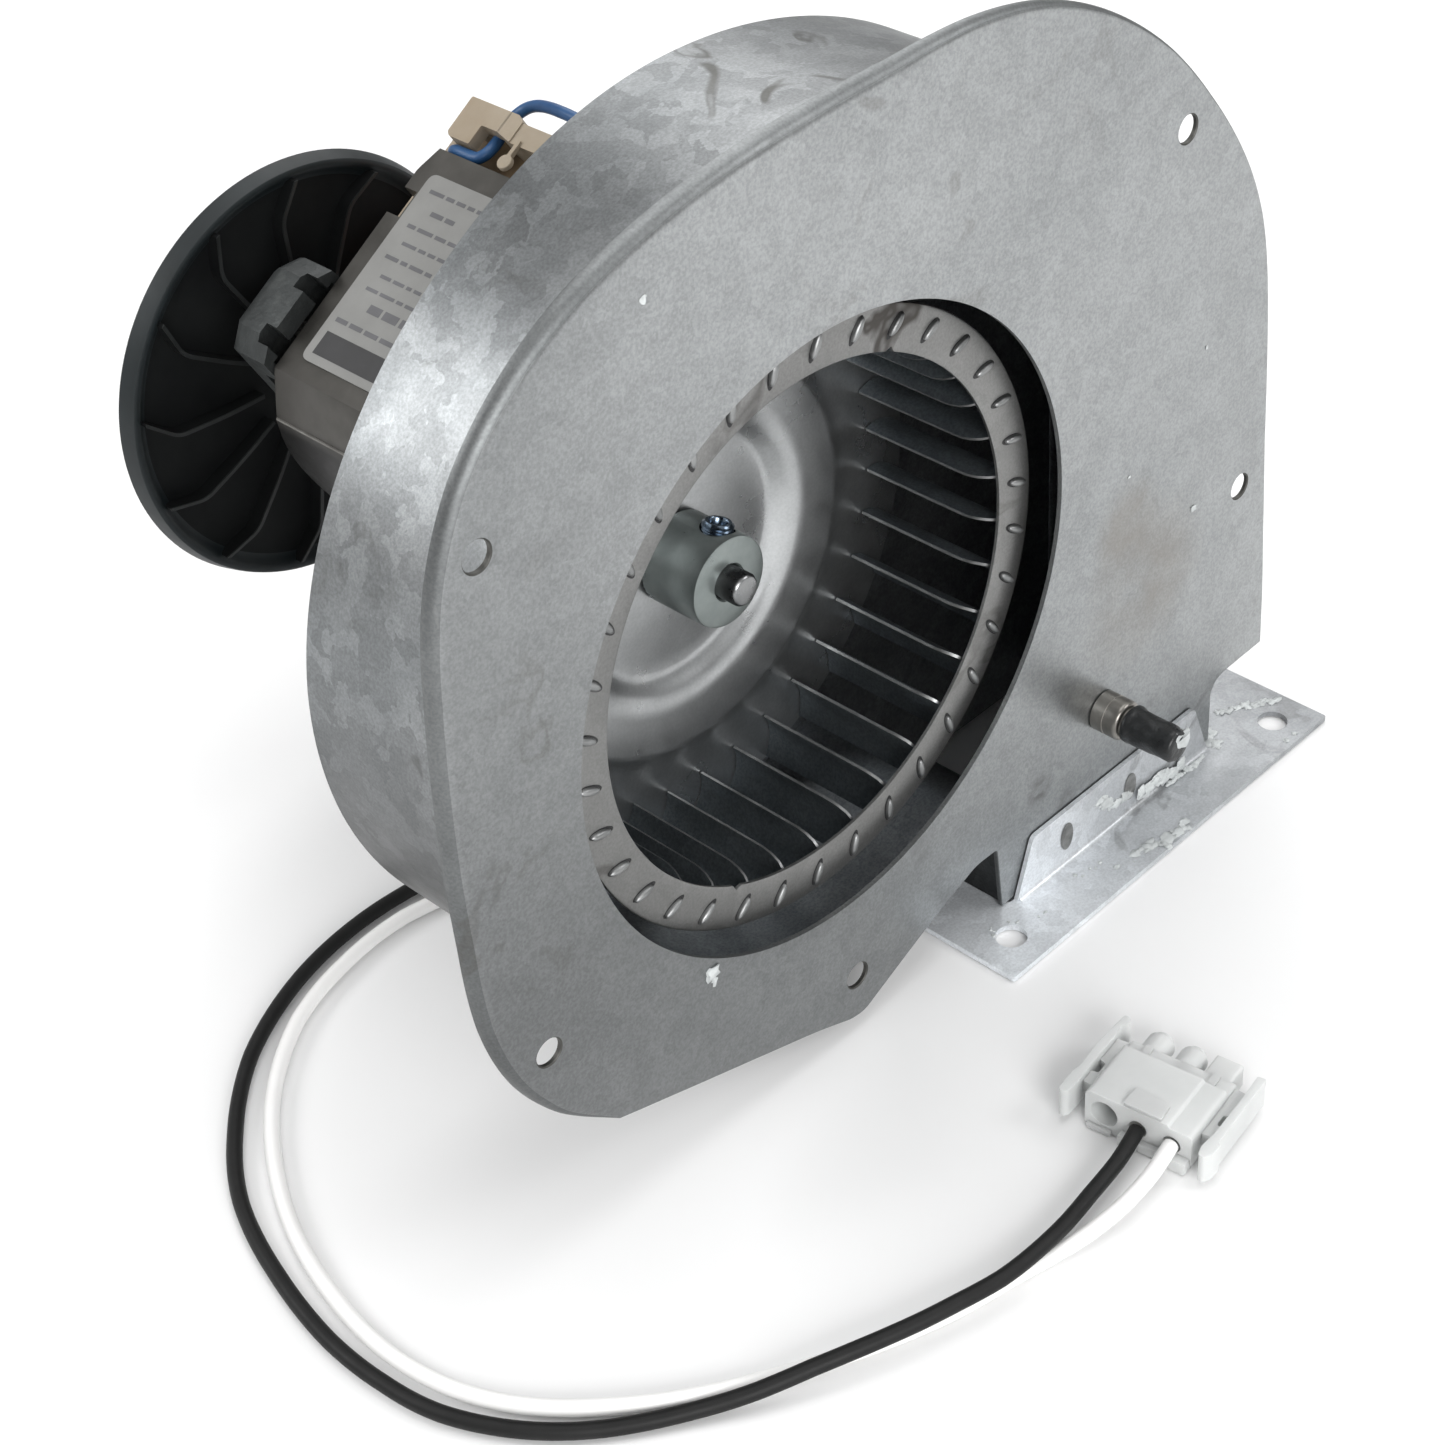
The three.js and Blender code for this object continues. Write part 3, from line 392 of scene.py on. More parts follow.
def inset(loop, distances):
    """A closed loop of (x, z) points moved inwards; the loop may run either way round."""
    area = sum(a[0] * b[1] - b[0] * a[1] for a, b in zip(loop, loop[1:] + loop[:1]))
    sign = 1 if area > 0 else -1
    out = []
    for i, point in enumerate(loop):
        a, b = loop[i - 1], loop[(i + 1) % len(loop)]
        length = math.hypot(b[0] - a[0], b[1] - a[1]) or 1
        reach = distances[i] if isinstance(distances, list) else distances
        out.append((point[0] - sign * (b[1] - a[1]) / length * reach,
                    point[1] + sign * (b[0] - a[0]) / length * reach))
    return out


def fill(loops, y):
    """Triangles between an outer loop and holes at one y."""
    vertices = [(x, y, z) for loop in loops for x, z in loop]
    faces = geometry.tessellate_polygon([[Vector((x, z, 0)) for x, z in loop] for loop in loops])
    return vertices, [list(face) for face in faces]


def walls(loop_a, ya, loop_b, yb):
    count = len(loop_a)
    vertices = [(x, ya, z) for x, z in loop_a] + [(x, yb, z) for x, z in loop_b]
    return vertices, [[i, (i + 1) % count, count + (i + 1) % count, count + i] for i in range(count)]


def slab(outline, y0, y1, holes=()):
    shapes = [fill([outline, *holes], y0), fill([outline, *holes], y1)]
    return shapes + [walls(loop, y0, loop, y1) for loop in [outline, *holes]]


def lathe(profile, count=96, x=0.0, z=0.0):
    """A closed profile of (radius, y) turned about the Y direction."""
    vertices, faces = [], []
    size = len(profile)
    for i in range(count):
        angle = 2 * math.pi * i / count
        vertices += [(x + r * math.cos(angle), y, z + r * math.sin(angle)) for r, y in profile]
        for k in range(size):
            a, b = i * size + k, i * size + (k + 1) % size
            c, d = ((i + 1) % count) * size + (k + 1) % size, ((i + 1) % count) * size + k
            faces.append([a, b, c, d])
    return vertices, faces


def block(x0, x1, y0, y1, z0, z1):
    vertices = [(x, y, z) for x in (x0, x1) for y in (y0, y1) for z in (z0, z1)]
    return vertices, [[0, 1, 3, 2], [4, 6, 7, 5], [0, 4, 5, 1], [2, 3, 7, 6], [0, 2, 6, 4], [1, 5, 7, 3]]


def crumb(source, x, y, z, size, flat_axis="z", stretch=1.0):
    """One rough lump, flattened along y or z and drawn out along x."""
    work = bmesh.new()
    bmesh.ops.create_icosphere(work, subdivisions=2, radius=1.0)
    phase = [source.uniform(0, 6.3) for _ in range(3)]
    vertices = []
    for v in work.verts:
        lump = (1 + 0.34 * math.sin(3.1 * v.co.x + phase[0]) + 0.26 * math.sin(4.3 * v.co.y + phase[1])
                + 0.24 * math.sin(5.2 * v.co.z + phase[2]) + source.uniform(-0.12, 0.12)) * size
        flat = (1.0, 1.0, 0.35) if flat_axis == "z" else (1.0, 0.3, 1.0)
        vertices.append((x + v.co.x * lump * flat[0] * stretch, y + v.co.y * lump * flat[1], z + v.co.z * lump * flat[2]))
    faces = [[v.index for v in face.verts] for face in work.faces]
    work.free()
    return vertices, faces


def moved(shape, change):
    return ([tuple(change(*v)) for v in shape[0]], *shape[1:])


def fillet(points, radii, steps=5):
    """Rounds the corners of a closed polygon."""
    out = []
    for i, point in enumerate(points):
        radius = radii[i] if isinstance(radii, list) else radii
        p, a, b = Vector(point), Vector(points[i - 1]), Vector(points[(i + 1) % len(points)])
        if radius <= 0:
            out.append(tuple(p))
            continue
        da, db = (a - p), (b - p)
        reach = min(radius, da.length * 0.45, db.length * 0.45)
        start, end = p + da.normalized() * reach, p + db.normalized() * reach
        for k in range(steps + 1):
            t = k / steps
            out.append(tuple(start * (1 - t) ** 2 + p * 2 * t * (1 - t) + end * t * t))
    return out


# ---------- leads: the same route as their CAD tubes ----------
FLOOR = -116.4
FLAT = FLOOR + 2.0
CON_Z = FLOOR + 5.5
LEAD = 3.8


def from_motor(u, y, v):
    return u * COS - v * SIN, y, u * SIN + v * COS


BLACK_ROUTE = [
    from_motor(44.0, 81.2, -19.5), from_motor(44.0, 77.6, -19.5), (47.6, 67.4, 2.5), (47.4, 63.0, -8.2),
    (46.4, 64.5, -24.0), (42.0, 72.0, -44.0), (35.0, 82.5, -64.0), (20.0, 98.0, -92.0),
    (-6.0, 112.0, FLAT + 1.8),
    (-36.0, 119.4, FLAT), (-54.8, 120.1, FLAT), (-76.6, 116.0, FLAT), (-101.4, 104.0, FLAT),
    (-120.6, 85.7, FLAT), (-132.3, 68.5, FLAT), (-140.0, 46.4, FLAT), (-144.4, 22.7, FLAT),
    (-144.2, 5.0, FLAT), (-141.5, -9.9, FLAT), (-133.2, -26.1, FLAT), (-121.9, -38.8, FLAT),
    (-106.8, -50.1, FLAT + 0.6), (-95.9, -57.4, FLAT + 2.2), (-84.5, -63.0, FLAT + 3.6),
    (-73.7, -67.9, FLAT + 4.3), (-62.1, -72.3, FLAT + 4.4), (-51.9, -75.4, FLAT + 4.4),
    (-41.2, -78.2, FLAT + 4.4), (-31.0, -79.1, FLAT + 4.3), (-20.2, -78.9, FLAT + 4.0),
    (-9.3, -77.5, CON_Z), (2.4, -76.1, CON_Z), (12.3, -73.7, CON_Z),
]
WHITE_ROUTE = [
    from_motor(49.0, 81.2, -19.5), from_motor(49.0, 77.6, -19.5), (52.0, 67.4, 5.1), (52.2, 63.0, -5.6),
    (51.2, 63.4, -22.0), (46.4, 69.0, -42.0), (37.4, 77.0, -64.0), (16.0, 91.0, -93.0),
    (-14.0, 105.0, FLAT + 1.8),
    (-46.0, 113.0, FLAT), (-66.1, 111.4, FLAT), (-86.6, 104.6, FLAT), (-105.6, 90.1, FLAT),
    (-118.8, 73.6, FLAT), (-129.4, 53.8, FLAT), (-135.7, 33.3, FLAT), (-138.3, 12.3, FLAT),
    (-135.6, -7.0, FLAT), (-128.0, -22.9, FLAT), (-116.8, -36.0, FLAT), (-103.9, -47.2, FLAT),
    (-86.7, -58.0, FLAT), (-68.7, -67.3, FLAT), (-50.7, -74.2, FLAT), (-35.9, -77.7, FLAT),
    (-25.9, -80.3, FLAT), (-16.7, -83.0, FLAT + 1.2), (-6.9, -84.6, FLAT + 2.8),
    (3.8, -84.2, CON_Z), (13.5, -82.25, CON_Z),
]


def make_wire(name, route, diameter, material, replaced, per_span=8):
    points = [shaft_point(*p) for p in spline(route, per_span)]
    data = bpy.data.curves.new(name, "CURVE")
    data.dimensions = "3D"
    line = data.splines.new("POLY")
    line.points.add(len(points) - 1)
    for target, point in zip(line.points, points):
        target.co = (*point, 1)
    data.bevel_depth = diameter / 2000
    data.bevel_resolution = 6
    data.use_fill_caps = True
    data.materials.append(material)
    made = bpy.data.objects.new(name, data)
    bpy.context.scene.collection.objects.link(made)
    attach(made, "housing")
    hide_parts(replaced)
    return made, sum((b - a).length for a, b in zip(points, points[1:]))


black, black_length = make_wire("black_lead_wire", BLACK_ROUTE, LEAD, BLACK_LEAD, "black_lead")
white, white_length = make_wire("white_lead_wire", WHITE_ROUTE, LEAD, WHITE_LEAD, "white_lead")


# ---------- connector on the leads ----------
def connector_point(x, y, z):
    turn = math.radians(8)
    return shaft_point(12.6 + x * math.cos(turn) - y * math.sin(turn),
                       -73.6 + x * math.sin(turn) + y * math.cos(turn), CON_Z + z)


PITCH = 8.7
HALF_Y = PITCH + 5.0
HALF_Z = 5.4
BODY_X, COLLAR_X, SILO_X = 17.0, 21.5, 28.6


def tube_x(r_out, r_in, x0, x1, y, z=0.0, count=40):
    """A tube along x whose far end is domed."""
    dome = [(r_out * math.cos(a), x1 - 0.55 * r_out * (1 - math.sin(a)))
            for a in [math.radians(10 * k) for k in range(8)]]
    profile = [(r_in, x0), (r_out, x0), (r_out, x1 - 0.55 * r_out), *dome, (r_in, x1)]
    return moved(lathe(profile, count), lambda a, b, c: (b, y + a, z + c))


def plate_z(outline, z0, z1):
    """A flat outline in x and y, as thick as z0 to z1."""
    return [moved(shape, lambda a, b, c: (a, c, b)) for shape in slab(outline, z0, z1)]


def make_connector():
    """Three-circuit plug: body with a raised top, lower collar, two domed silos, a square one, two latches."""
    shapes = []

    def across(section, x0, x1, holes=()):
        for shape in slab(section, x0, x1, holes):
            shapes.append(moved(shape, lambda a, b, c: (b, a, c)))

    def ring_at(radius, y, z=0.0):
        return [(y + a, z + b) for a, b in circle(radius, 0, 0, 40)]

    mouths = [ring_at(3.5, PITCH), ring_at(2.3, 0), ring_at(2.3, -PITCH)]
    body = fillet([(-HALF_Y, -HALF_Z), (HALF_Y, -HALF_Z), (HALF_Y, HALF_Z), (-7.4, HALF_Z), (-7.9, HALF_Z - 0.7),
                   (-HALF_Y, HALF_Z - 0.7)], [0.7, 0.7, 1.6, 0.3, 0.3, 1.4], 5)
    across(body, 0.0, BODY_X, mouths)
    collar = fillet([(-HALF_Y, -4.6), (HALF_Y, -4.6), (HALF_Y, 2.9), (-HALF_Y, 2.9)], 0.8, 4)
    across(collar, BODY_X - 0.02, COLLAR_X, [ring_at(2.3, y) for y in (PITCH, 0, -PITCH)])
    shapes.extend(plate_z(fillet([(0.3, -5.7), (5.2, -5.4), (5.6, 3.8), (0.3, 4.1)], 0.5, 3), HALF_Z - 0.2, HALF_Z + 0.8))
    # Stepped keys below the mouths, towards the wires.
    for x0, y0, y1, z0, z1 in ((-2.4, -HALF_Y + 0.3, -5.6, -5.4, -2.2), (-1.5, -5.6, -0.9, -5.4, -2.8),
                               (-2.2, -0.9, 4.0, -5.4, -2.4), (-0.9, 6.6, 12.9, -5.4, -4.2)):
        across(fillet([(y0, z0), (y1, z0), (y1, z1), (y0, z1)], 0.25, 2), x0, 0.02)
    for y in (PITCH, 0):
        shapes.append(tube_x(3.5, 2.4, COLLAR_X - 0.02, SILO_X, y, -0.6))
    square = fillet([(-3.5, -4.0), (3.5, -4.0), (3.5, 2.8), (-3.5, 2.8)], 0.8)
    bore = [(a * 0.7, (b + 0.6) * 0.7 - 0.6) for a, b in square]
    for shape in slab(square, COLLAR_X - 0.02, SILO_X - 0.8, [bore]):
        shapes.append(moved(shape, lambda a, b, c: (b, a - PITCH, c)))
    for y in (PITCH, -PITCH):
        shapes.extend(plate_z(fillet([(BODY_X, y - 1.1), (COLLAR_X, y - 0.9), (COLLAR_X, y + 0.9), (BODY_X, y + 1.1)],
                                     0.3, 2), 2.8, 3.6))
    for side in (-1, 1):
        web = [(4.6, HALF_Y - 0.3), (4.8, HALF_Y + 3.6), (8.4, HALF_Y + 3.7), (8.9, HALF_Y + 1.6),
               (12.2, HALF_Y + 1.6), (12.8, HALF_Y + 3.7), (20.6, HALF_Y + 3.6), (21.0, HALF_Y - 0.3)]
        shapes.extend(plate_z(fillet([(x, y * side) for x, y in web], 0.5, 3), -1.6, 2.2))
        if side > 0:
            arm = [(-2.0, 19.6), (-2.4, 18.2), (-1.4, 17.2), (3.6, 16.9), (5.4, 17.1), (20.0, 17.0), (23.2, 17.4),
                   (24.2, 16.0), (25.8, 16.2), (26.6, 17.6), (26.4, 18.4), (17.0, 19.3), (6.0, 19.1), (5.4, 19.7)]
            soft = [0.9, 0.9, 0.5, 0.4, 0.4, 1.0, 0.6, 0.8, 0.9, 0.6, 0.6, 3.0, 0.3, 0.3]
        else:
            arm = [(-3.4, 18.4), (-3.0, 16.9), (-0.4, 16.3), (4.6, 17.0), (18.0, 17.2), (25.2, 17.0), (25.4, 19.1),
                   (2.4, 19.1), (1.8, 19.9), (-1.4, 19.6)]
            soft = [0.6, 0.6, 0.8, 0.6, 0.8, 0.4, 0.4, 0.2, 0.3, 0.6]
        shapes.extend(plate_z(fillet([(x, y * side) for x, y in arm], soft, 4), -3.8, 4.3))
    return finish_mesh("connector_body", shapes, CLEAR, replaces=("connector_housing",),
                       at=connector_point, crease=38, bevel=0.22)


connector = make_connector()
for number in (1, 2):
    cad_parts[f"contact_{number}"].data.materials.clear()
    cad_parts[f"contact_{number}"].data.materials.append(BRASS)


# ---------- front plate with its back-turned rim ----------
SHEET = 1.2
INLET_R = 75.6
DUCT_LEFT, DUCT_RIGHT = 56.0, 139.0
BOX_DEPTH = 55.2
RIM = [
    (-76.0, -86.0), (-90.4, -74.0), (-101.0, -57.6), (-107.0, -37.1), (-108.4, -14.0), (-108.6, 12.0),
    (-106.6, 46.0), (-103.0, 68.0), (-93.8, 87.4), (-79.4, 101.8), (-60.7, 112.4), (-30.6, 120.2),
    (-3.9, 122.8), (24.2, 123.6), (46.0, 123.8), (68.2, 120.0), (90.0, 110.4), (111.2, 95.0),
    (128.0, 77.0), (142.4, 57.0), (151.2, 38.0), (155.6, 15.0), (158.6, -30.0), (161.6, -78.0),
]
FOOT = [
    (162.2, -94.9), (146.0, -95.2), (142.0, -96.2), (140.2, -99.0), (140.2, -114.6),
    (53.6, -114.6), (51.8, -94.8), (44.0, -94.6), (25.5, -101.8), (8.0, -109.6), (2.6, -112.2),
    (-2.0, -111.8), (-13.2, -107.2), (-52.5, -94.0), (-66.0, -89.4),
]
PLATE_HOLES = [(-92.4, 71.9), (-92.4, -53.0), (0.4, -99.2), (119.2, 72.0), (147.8, -37.7)]


def make_front_plate():
    rim = spline(RIM, 10)
    foot = fillet([rim[-1], *FOOT, rim[0]], [0, 0.6, 3, 2, 2, 0.4, 0.4, 1.0, 2.5, 3, 4, 3, 3, 6, 6, 6, 0], 4)[1:-1]
    loop = [tuple(p[:2]) for p in rim] + [tuple(p[:2]) for p in foot]
    # Fold radius along the loop: full on the left and top, fading towards the right and the foot.
    radii = []
    for i in range(len(loop)):
        if i < len(rim):
            knot = i / 10
            value = 3.3
            if knot < 1.5:
                value = 0.5 + 2.8 * (knot / 1.5) ** 0.7
            elif knot > 12:
                value = max(1.0, 3.3 - (knot - 12) * 0.45)
            if knot > 22:
                value = max(0.4, 1.0 - (knot - 22) * 0.6)
        else:
            value = 0.4
        radii.append(value)
    shapes = []
    steps = 7
    previous = inset(loop, radii)
    flat = previous
    for k in range(1, steps + 1):
        angle = math.pi / 2 * k / steps
        ring = inset(loop, [r * (1 - math.sin(angle)) for r in radii])
        depth = [r * (1 - math.cos(angle)) for r in radii]
        before = [r * (1 - math.cos(math.pi / 2 * (k - 1) / steps)) for r in radii]
        count = len(loop)
        vertices = [(p[0], before[i], p[1]) for i, p in enumerate(previous)]
        vertices += [(p[0], depth[i], p[1]) for i, p in enumerate(ring)]
        faces = [[i, (i + 1) % count, count + (i + 1) % count, count + i] for i in range(count)]
        shapes.append((vertices, faces, 1 if k > 2 else 0))
        previous = ring
    back = [max(r, SHEET) + (0.2 if r > 1 else 0.0) for r in radii]
    count = len(loop)

    def strip(loop_a, depth_a, loop_b, depth_b):
        vertices = [(p[0], depth_a[i], p[1]) for i, p in enumerate(loop_a)]
        vertices += [(p[0], depth_b[i], p[1]) for i, p in enumerate(loop_b)]
        return vertices, [[i, (i + 1) % count, count + (i + 1) % count, count + i] for i in range(count)]

    inner = inset(loop, SHEET * 0.9)
    inner_flat = inset(loop, [max(r, SHEET) + 0.4 for r in radii])
    shapes.append((*strip(loop, radii, loop, back), 1))
    shapes.append((*strip(loop, back, inner, back), 1))
    shapes.append(strip(inner, back, inner_flat, [SHEET] * count))
    # Each punched hole is drawn in a little at the front, and its wall is painted dark as the shade inside the hole.
    inlet, lip = circle(INLET_R, 0, 0, 180), 0.3
    holes = [circle(3.4, x, z, 40) for x, z in PLATE_HOLES]
    mouths = [circle(3.4 + lip, x, z, 40) for x, z in PLATE_HOLES]
    shapes.append(fill([flat, inlet, *mouths], 0.0))
    shapes.append(fill([inner_flat, inlet, *holes], SHEET))
    shapes.append(walls(inlet, 0.0, inlet, SHEET))
    shapes += [(*walls(mouth, 0.0, hole, lip), 2) for mouth, hole in zip(mouths, holes)]
    shapes += [(*walls(hole, lip, hole, SHEET), 2) for hole in holes]
    return finish_mesh("front_plate_sheet", shapes, [PLATE, RIM_ZINC_SHADE, PUNCHED_SHADE],
                       replaces=("front_plate",), crease=40)


make_front_plate()

# ---------- scroll wrapper ----------
SCROLL_RADII = [
    (-72, 85.2), (-90, 86.2), (-110, 88.6), (-130, 91.4), (-150, 93.9), (-170, 96.4), (-190, 98.8),
    (-210, 100.8), (-230, 102.8), (-250, 106.2), (-266, 110.6), (-280, 114.6), (-294, 119.0),
    (-308, 124.0), (-322, 129.2), (-336, 134.2), (-348, 137.6),
]


def polar(radius, degrees):
    return radius * math.cos(math.radians(degrees)), radius * math.sin(math.radians(degrees))


SCROLL_KNOTS = [
    (DUCT_LEFT - SHEET, -94.0), (DUCT_LEFT - SHEET, -86.0), (52.6, -79.4), (46.4, -76.4), (38.0, -77.4),
    *[polar(r, deg) for deg, r in SCROLL_RADII], (140.2, -12.0),
]


def scroll_path():
    middle = [tuple(p[:2]) for p in spline(SCROLL_KNOTS, 10)]
    first = [(DUCT_LEFT - SHEET, FLOOR + 1.8 + i * 4) for i in range(5)]
    last = [(DUCT_RIGHT + SHEET, -50.0 - i * 8) for i in range(8)] + [(DUCT_RIGHT + SHEET, FLOOR + 1.8)]
    return first + middle + last


def sideways(path, distance):
    out = []
    for i, point in enumerate(path):
        a, b = path[max(i - 1, 0)], path[min(i + 1, len(path) - 1)]
        length = math.hypot(b[0] - a[0], b[1] - a[1])
        out.append((point[0] - (b[1] - a[1]) / length * distance, point[1] + (b[0] - a[0]) / length * distance))
    return out


def make_wrapper():
    outer = scroll_path()
    inner = sideways(outer, -SHEET)
    levels = [1.5, 1.8, 8, 18, 28, 38, 48, 54.9, BOX_DEPTH]
    count = len(outer)
    shapes = []
    for path in (outer, inner):
        vertices = [(x, y, z) for y in levels for x, z in path]
        faces = [[k * count + i, k * count + i + 1, (k + 1) * count + i + 1, (k + 1) * count + i]
                 for k in range(len(levels) - 1) for i in range(count - 1)]
        shapes.append((vertices, faces, 0 if path is outer else 1))
    for y in (levels[0], levels[-1]):
        vertices = [(x, y, z) for x, z in outer] + [(x, y, z) for x, z in inner]
        shapes.append((vertices, [[i, i + 1, count + i + 1, count + i] for i in range(count - 1)]))
    for i in (0, count - 1):
        a, b = outer[i], inner[i]
        vertices = [(p[0], y, p[1]) for y in levels for p in (a, b)]
        shapes.append((vertices, [[2 * k, 2 * k + 1, 2 * k + 3, 2 * k + 2] for k in range(len(levels) - 1)]))
    return finish_mesh("scroll_wrapper_sheet", shapes, [WRAP, INSIDE],
                       replaces=("scroll_wrapper",), crease=50)


make_wrapper()


# ---------- outlet flange ----------
def flat_xy(outline, z0, z1, holes=()):
    return [moved(shape, lambda a, b, c: (a, c, b)) for shape in slab(outline, z0, z1, holes)]


def make_flange():
    corners = [(36.0, -18.4), (168.5, -18.4), (168.5, 72.4), (36.0, 72.4)]
    holes = [circle(4.0, x, y, 48) for x in (46.95, 157.55) for y in (-8.5, 62.5)]
    mouth = fillet([(56.0, -0.3), (139.0, -0.3), (139.0, 55.5), (56.0, 55.5)], 1.2, 3)
    shapes = flat_xy(fillet(corners, 0.8, 3), FLOOR, FLOOR + 1.5, [mouth, *holes])
    tab = fillet([(57.6, FLOOR + 0.6), (137.6, FLOOR + 0.6), (131.0, -98.0), (64.2, -98.0)], [0, 0, 1.6, 1.6], 4)
    shapes += slab(tab, -1.5, -0.3) + slab(tab, 55.5, 56.7)
    # The bend between each tab and the flange.
    for face, sign in ((-1.5, -1), (56.7, 1)):
        radius = 1.6
        section = [(face, FLOOR + 1.2)]
        section += [(face + sign * radius * (1 - math.cos(a)), FLOOR + 1.5 + radius * (1 - math.sin(a)))
                    for a in [math.pi / 2 * k / 6 for k in range(7)]]
        section += [(face + sign * radius, FLOOR + 1.2)]
        vertices = [(x, y, z) for x in (58.4, 136.8) for y, z in section]
        size = len(section)
        faces = [[i, (i + 1) % size, size + (i + 1) % size, size + i] for i in range(size)]
        faces += [list(range(size)), list(range(size, 2 * size))]
        shapes.append((vertices, faces))
    made = finish_mesh("outlet_flange_sheet", shapes, FLANGE,
                       replaces=("outlet_flange",), crease=35, bevel=0.12, segments=1)
    return made


make_flange()


def make_spots():
    """Two resistance-weld marks on the flange's front tab."""
    shapes = []
    for x, z in ((77.4, -106.3), (103.5, -106.7)):
        profile = [(0.0, -1.46), (2.7, -1.46), (3.1, -1.52), (3.4, -1.7), (3.0, -1.72), (2.4, -1.6), (0.0, -1.56)]
        shapes.append(moved(lathe(profile, 32), lambda a, b, c, cx=x, cz=z: (cx + a * 0.72, b, cz + c * 1.25)))
    finish_mesh("weld_spots", shapes, WELD, crease=60)


make_spots()

# ---------- pressure tap and cap ----------
TAP_X, TAP_Z = 92.8, -75.6


def make_tap():
    profile = [(2.0, -0.3), (5.3, -0.3), (5.32, -3.75), (5.12, -3.9), (5.12, -4.1), (5.3, -4.25), (5.34, -6.9),
               (5.2, -7.6), (4.75, -8.05), (4.0, -8.2), (3.95, -8.55), (3.2, -8.7), (3.2, -19.4), (3.0, -19.6),
               (2.0, -19.6)]
    finish_mesh("pressure_tap_body", [lathe(profile, 64, TAP_X, TAP_Z)], TAP,
                replaces=("pressure_tap",), crease=45)
    cap = [(3.5, -9.0), (4.7, -9.0), (5.05, -9.3), (5.1, -10.2), (4.95, -10.8), (4.78, -11.4), (4.7, -15.0),
           (4.55, -21.6), (4.35, -23.0), (3.7, -23.75), (0.0, -23.8), (0.0, -20.4), (3.5, -20.4)]
    dense = []
    for (r0, y0), (r1, y1) in zip(cap, cap[1:] + cap[:1]):
        count = max(1, int(math.hypot(r1 - r0, y1 - y0) / 1.0))
        dense += [(r0 + (r1 - r0) * i / count, y0 + (y1 - y0) * i / count) for i in range(count)]

    def wobble(x, y, z):
        dx, dz = x - TAP_X, z - TAP_Z
        radius = math.hypot(dx, dz)
        if radius < 3.8:
            return x, y, z
        angle = math.atan2(dz, dx)
        swell = 0.12 * math.sin(3 * angle + y * 0.7) + 0.08 * math.sin(5 * angle - y * 1.1)
        grow = (radius + swell - 0.08) / radius
        return TAP_X + dx * grow, y, TAP_Z + dz * grow

    finish_mesh("tap_cap_rubber", [moved(lathe(dense, 72, TAP_X, TAP_Z), wobble)], RUBBER, body="cap",
                replaces=("tap_cap",), crease=60)
    source = random.Random(23)
    lumps = [crumb(source, TAP_X + dx, -23.6 + dy, TAP_Z + dz, size, "y", 1.15)
             for dx, dy, dz, size in ((1.2, 0.0, 1.0, 2.5), (2.9, 0.7, 0.2, 1.7), (0.4, 0.2, 2.7, 1.4),
                                      (2.6, 1.4, 2.2, 1.3), (3.6, 2.2, 1.2, 0.9))]
    finish_mesh("cap_sealant", lumps, SEALANT, body="cap", crease=80)


make_tap()

# ---------- shaft, hub, set screw ----------
SHAFT_R, HUB_R = 3.97, 11.1
SCREW_DEG, SCREW_Y = 74, 38.5


def make_rotor_parts():
    shaft = [(0.0, 27.6), (3.1, 27.6), (3.45, 27.75), (3.97, 28.6), (3.97, 185.3), (3.4, 186.0), (0.0, 186.0)]
    finish_mesh("shaft_bar", [lathe(shaft, 96)], SHAFT, body="rotor", replaces=("shaft",),
                crease=40)
    bore = SHAFT_R + 0.3
    hub = [(bore + 0.4, 32.9), (HUB_R - 0.7, 32.9), (HUB_R - 0.2, 33.1), (HUB_R, 33.6), (HUB_R, 49.0),
           (8.0, 49.0), (8.0, 52.4), (bore, 52.4), (bore, 33.4)]
    angle = math.radians(SCREW_DEG)
    direction = (math.cos(angle), math.sin(angle))
    made = finish_mesh("hub_body", [lathe(hub, 128)], [HUB, SCREW], body="rotor",
                       replaces=("hub",), crease=40)
    tool_profile = [(0.0, 3.0), (4.05, 3.0), (4.05, 13.0), (0.0, 13.0)]

    def across(a, b, c):
        return direction[0] * b - direction[1] * a, SCREW_Y + c, direction[1] * b + direction[0] * a

    tool = finish_mesh("hub_hole_tool", [moved(lathe(tool_profile, 48), across)], SCREW, body="rotor")
    boring = made.modifiers.new("hole", "BOOLEAN")
    boring.operation = "DIFFERENCE"
    boring.solver = "EXACT"
    boring.object = tool
    bpy.context.view_layer.update()
    cut = bpy.data.meshes.new_from_object(made.evaluated_get(bpy.context.evaluated_depsgraph_get()))
    made.modifiers.clear()
    made.data = cut
    for polygon in cut.polygons:
        polygon.use_smooth = True
    cut.set_sharp_from_angle(angle=math.radians(35))
    bpy.data.objects.remove(tool)
    # Threaded outside, with a hexagonal socket in its end.
    thread = []
    y = 4.5
    while y < 11.6:
        thread += [(3.35, y), (3.7, y + 0.35)]
        y += 0.7
    screw = [(2.1, 4.4), *thread, (3.3, 12.1), (3.0, 12.6), (2.35, 12.6), (2.1, 12.3)]
    socket = [(0.0, 4.45), (2.2, 4.45), (2.2, 9.2), (0.0, 9.2)]
    finish_mesh("set_screw_body", [moved(lathe(screw, 48), across), moved(lathe(socket, 6), across)],
                SCREW, body="rotor", replaces=("set_screw",), crease=40)


make_rotor_parts()

# ---------- wheel ----------
WHEEL_R, RING_INNER, RING_Y, BLADES, BACK_Y = 72.6, 61.8, 7.0, 34, 46.6


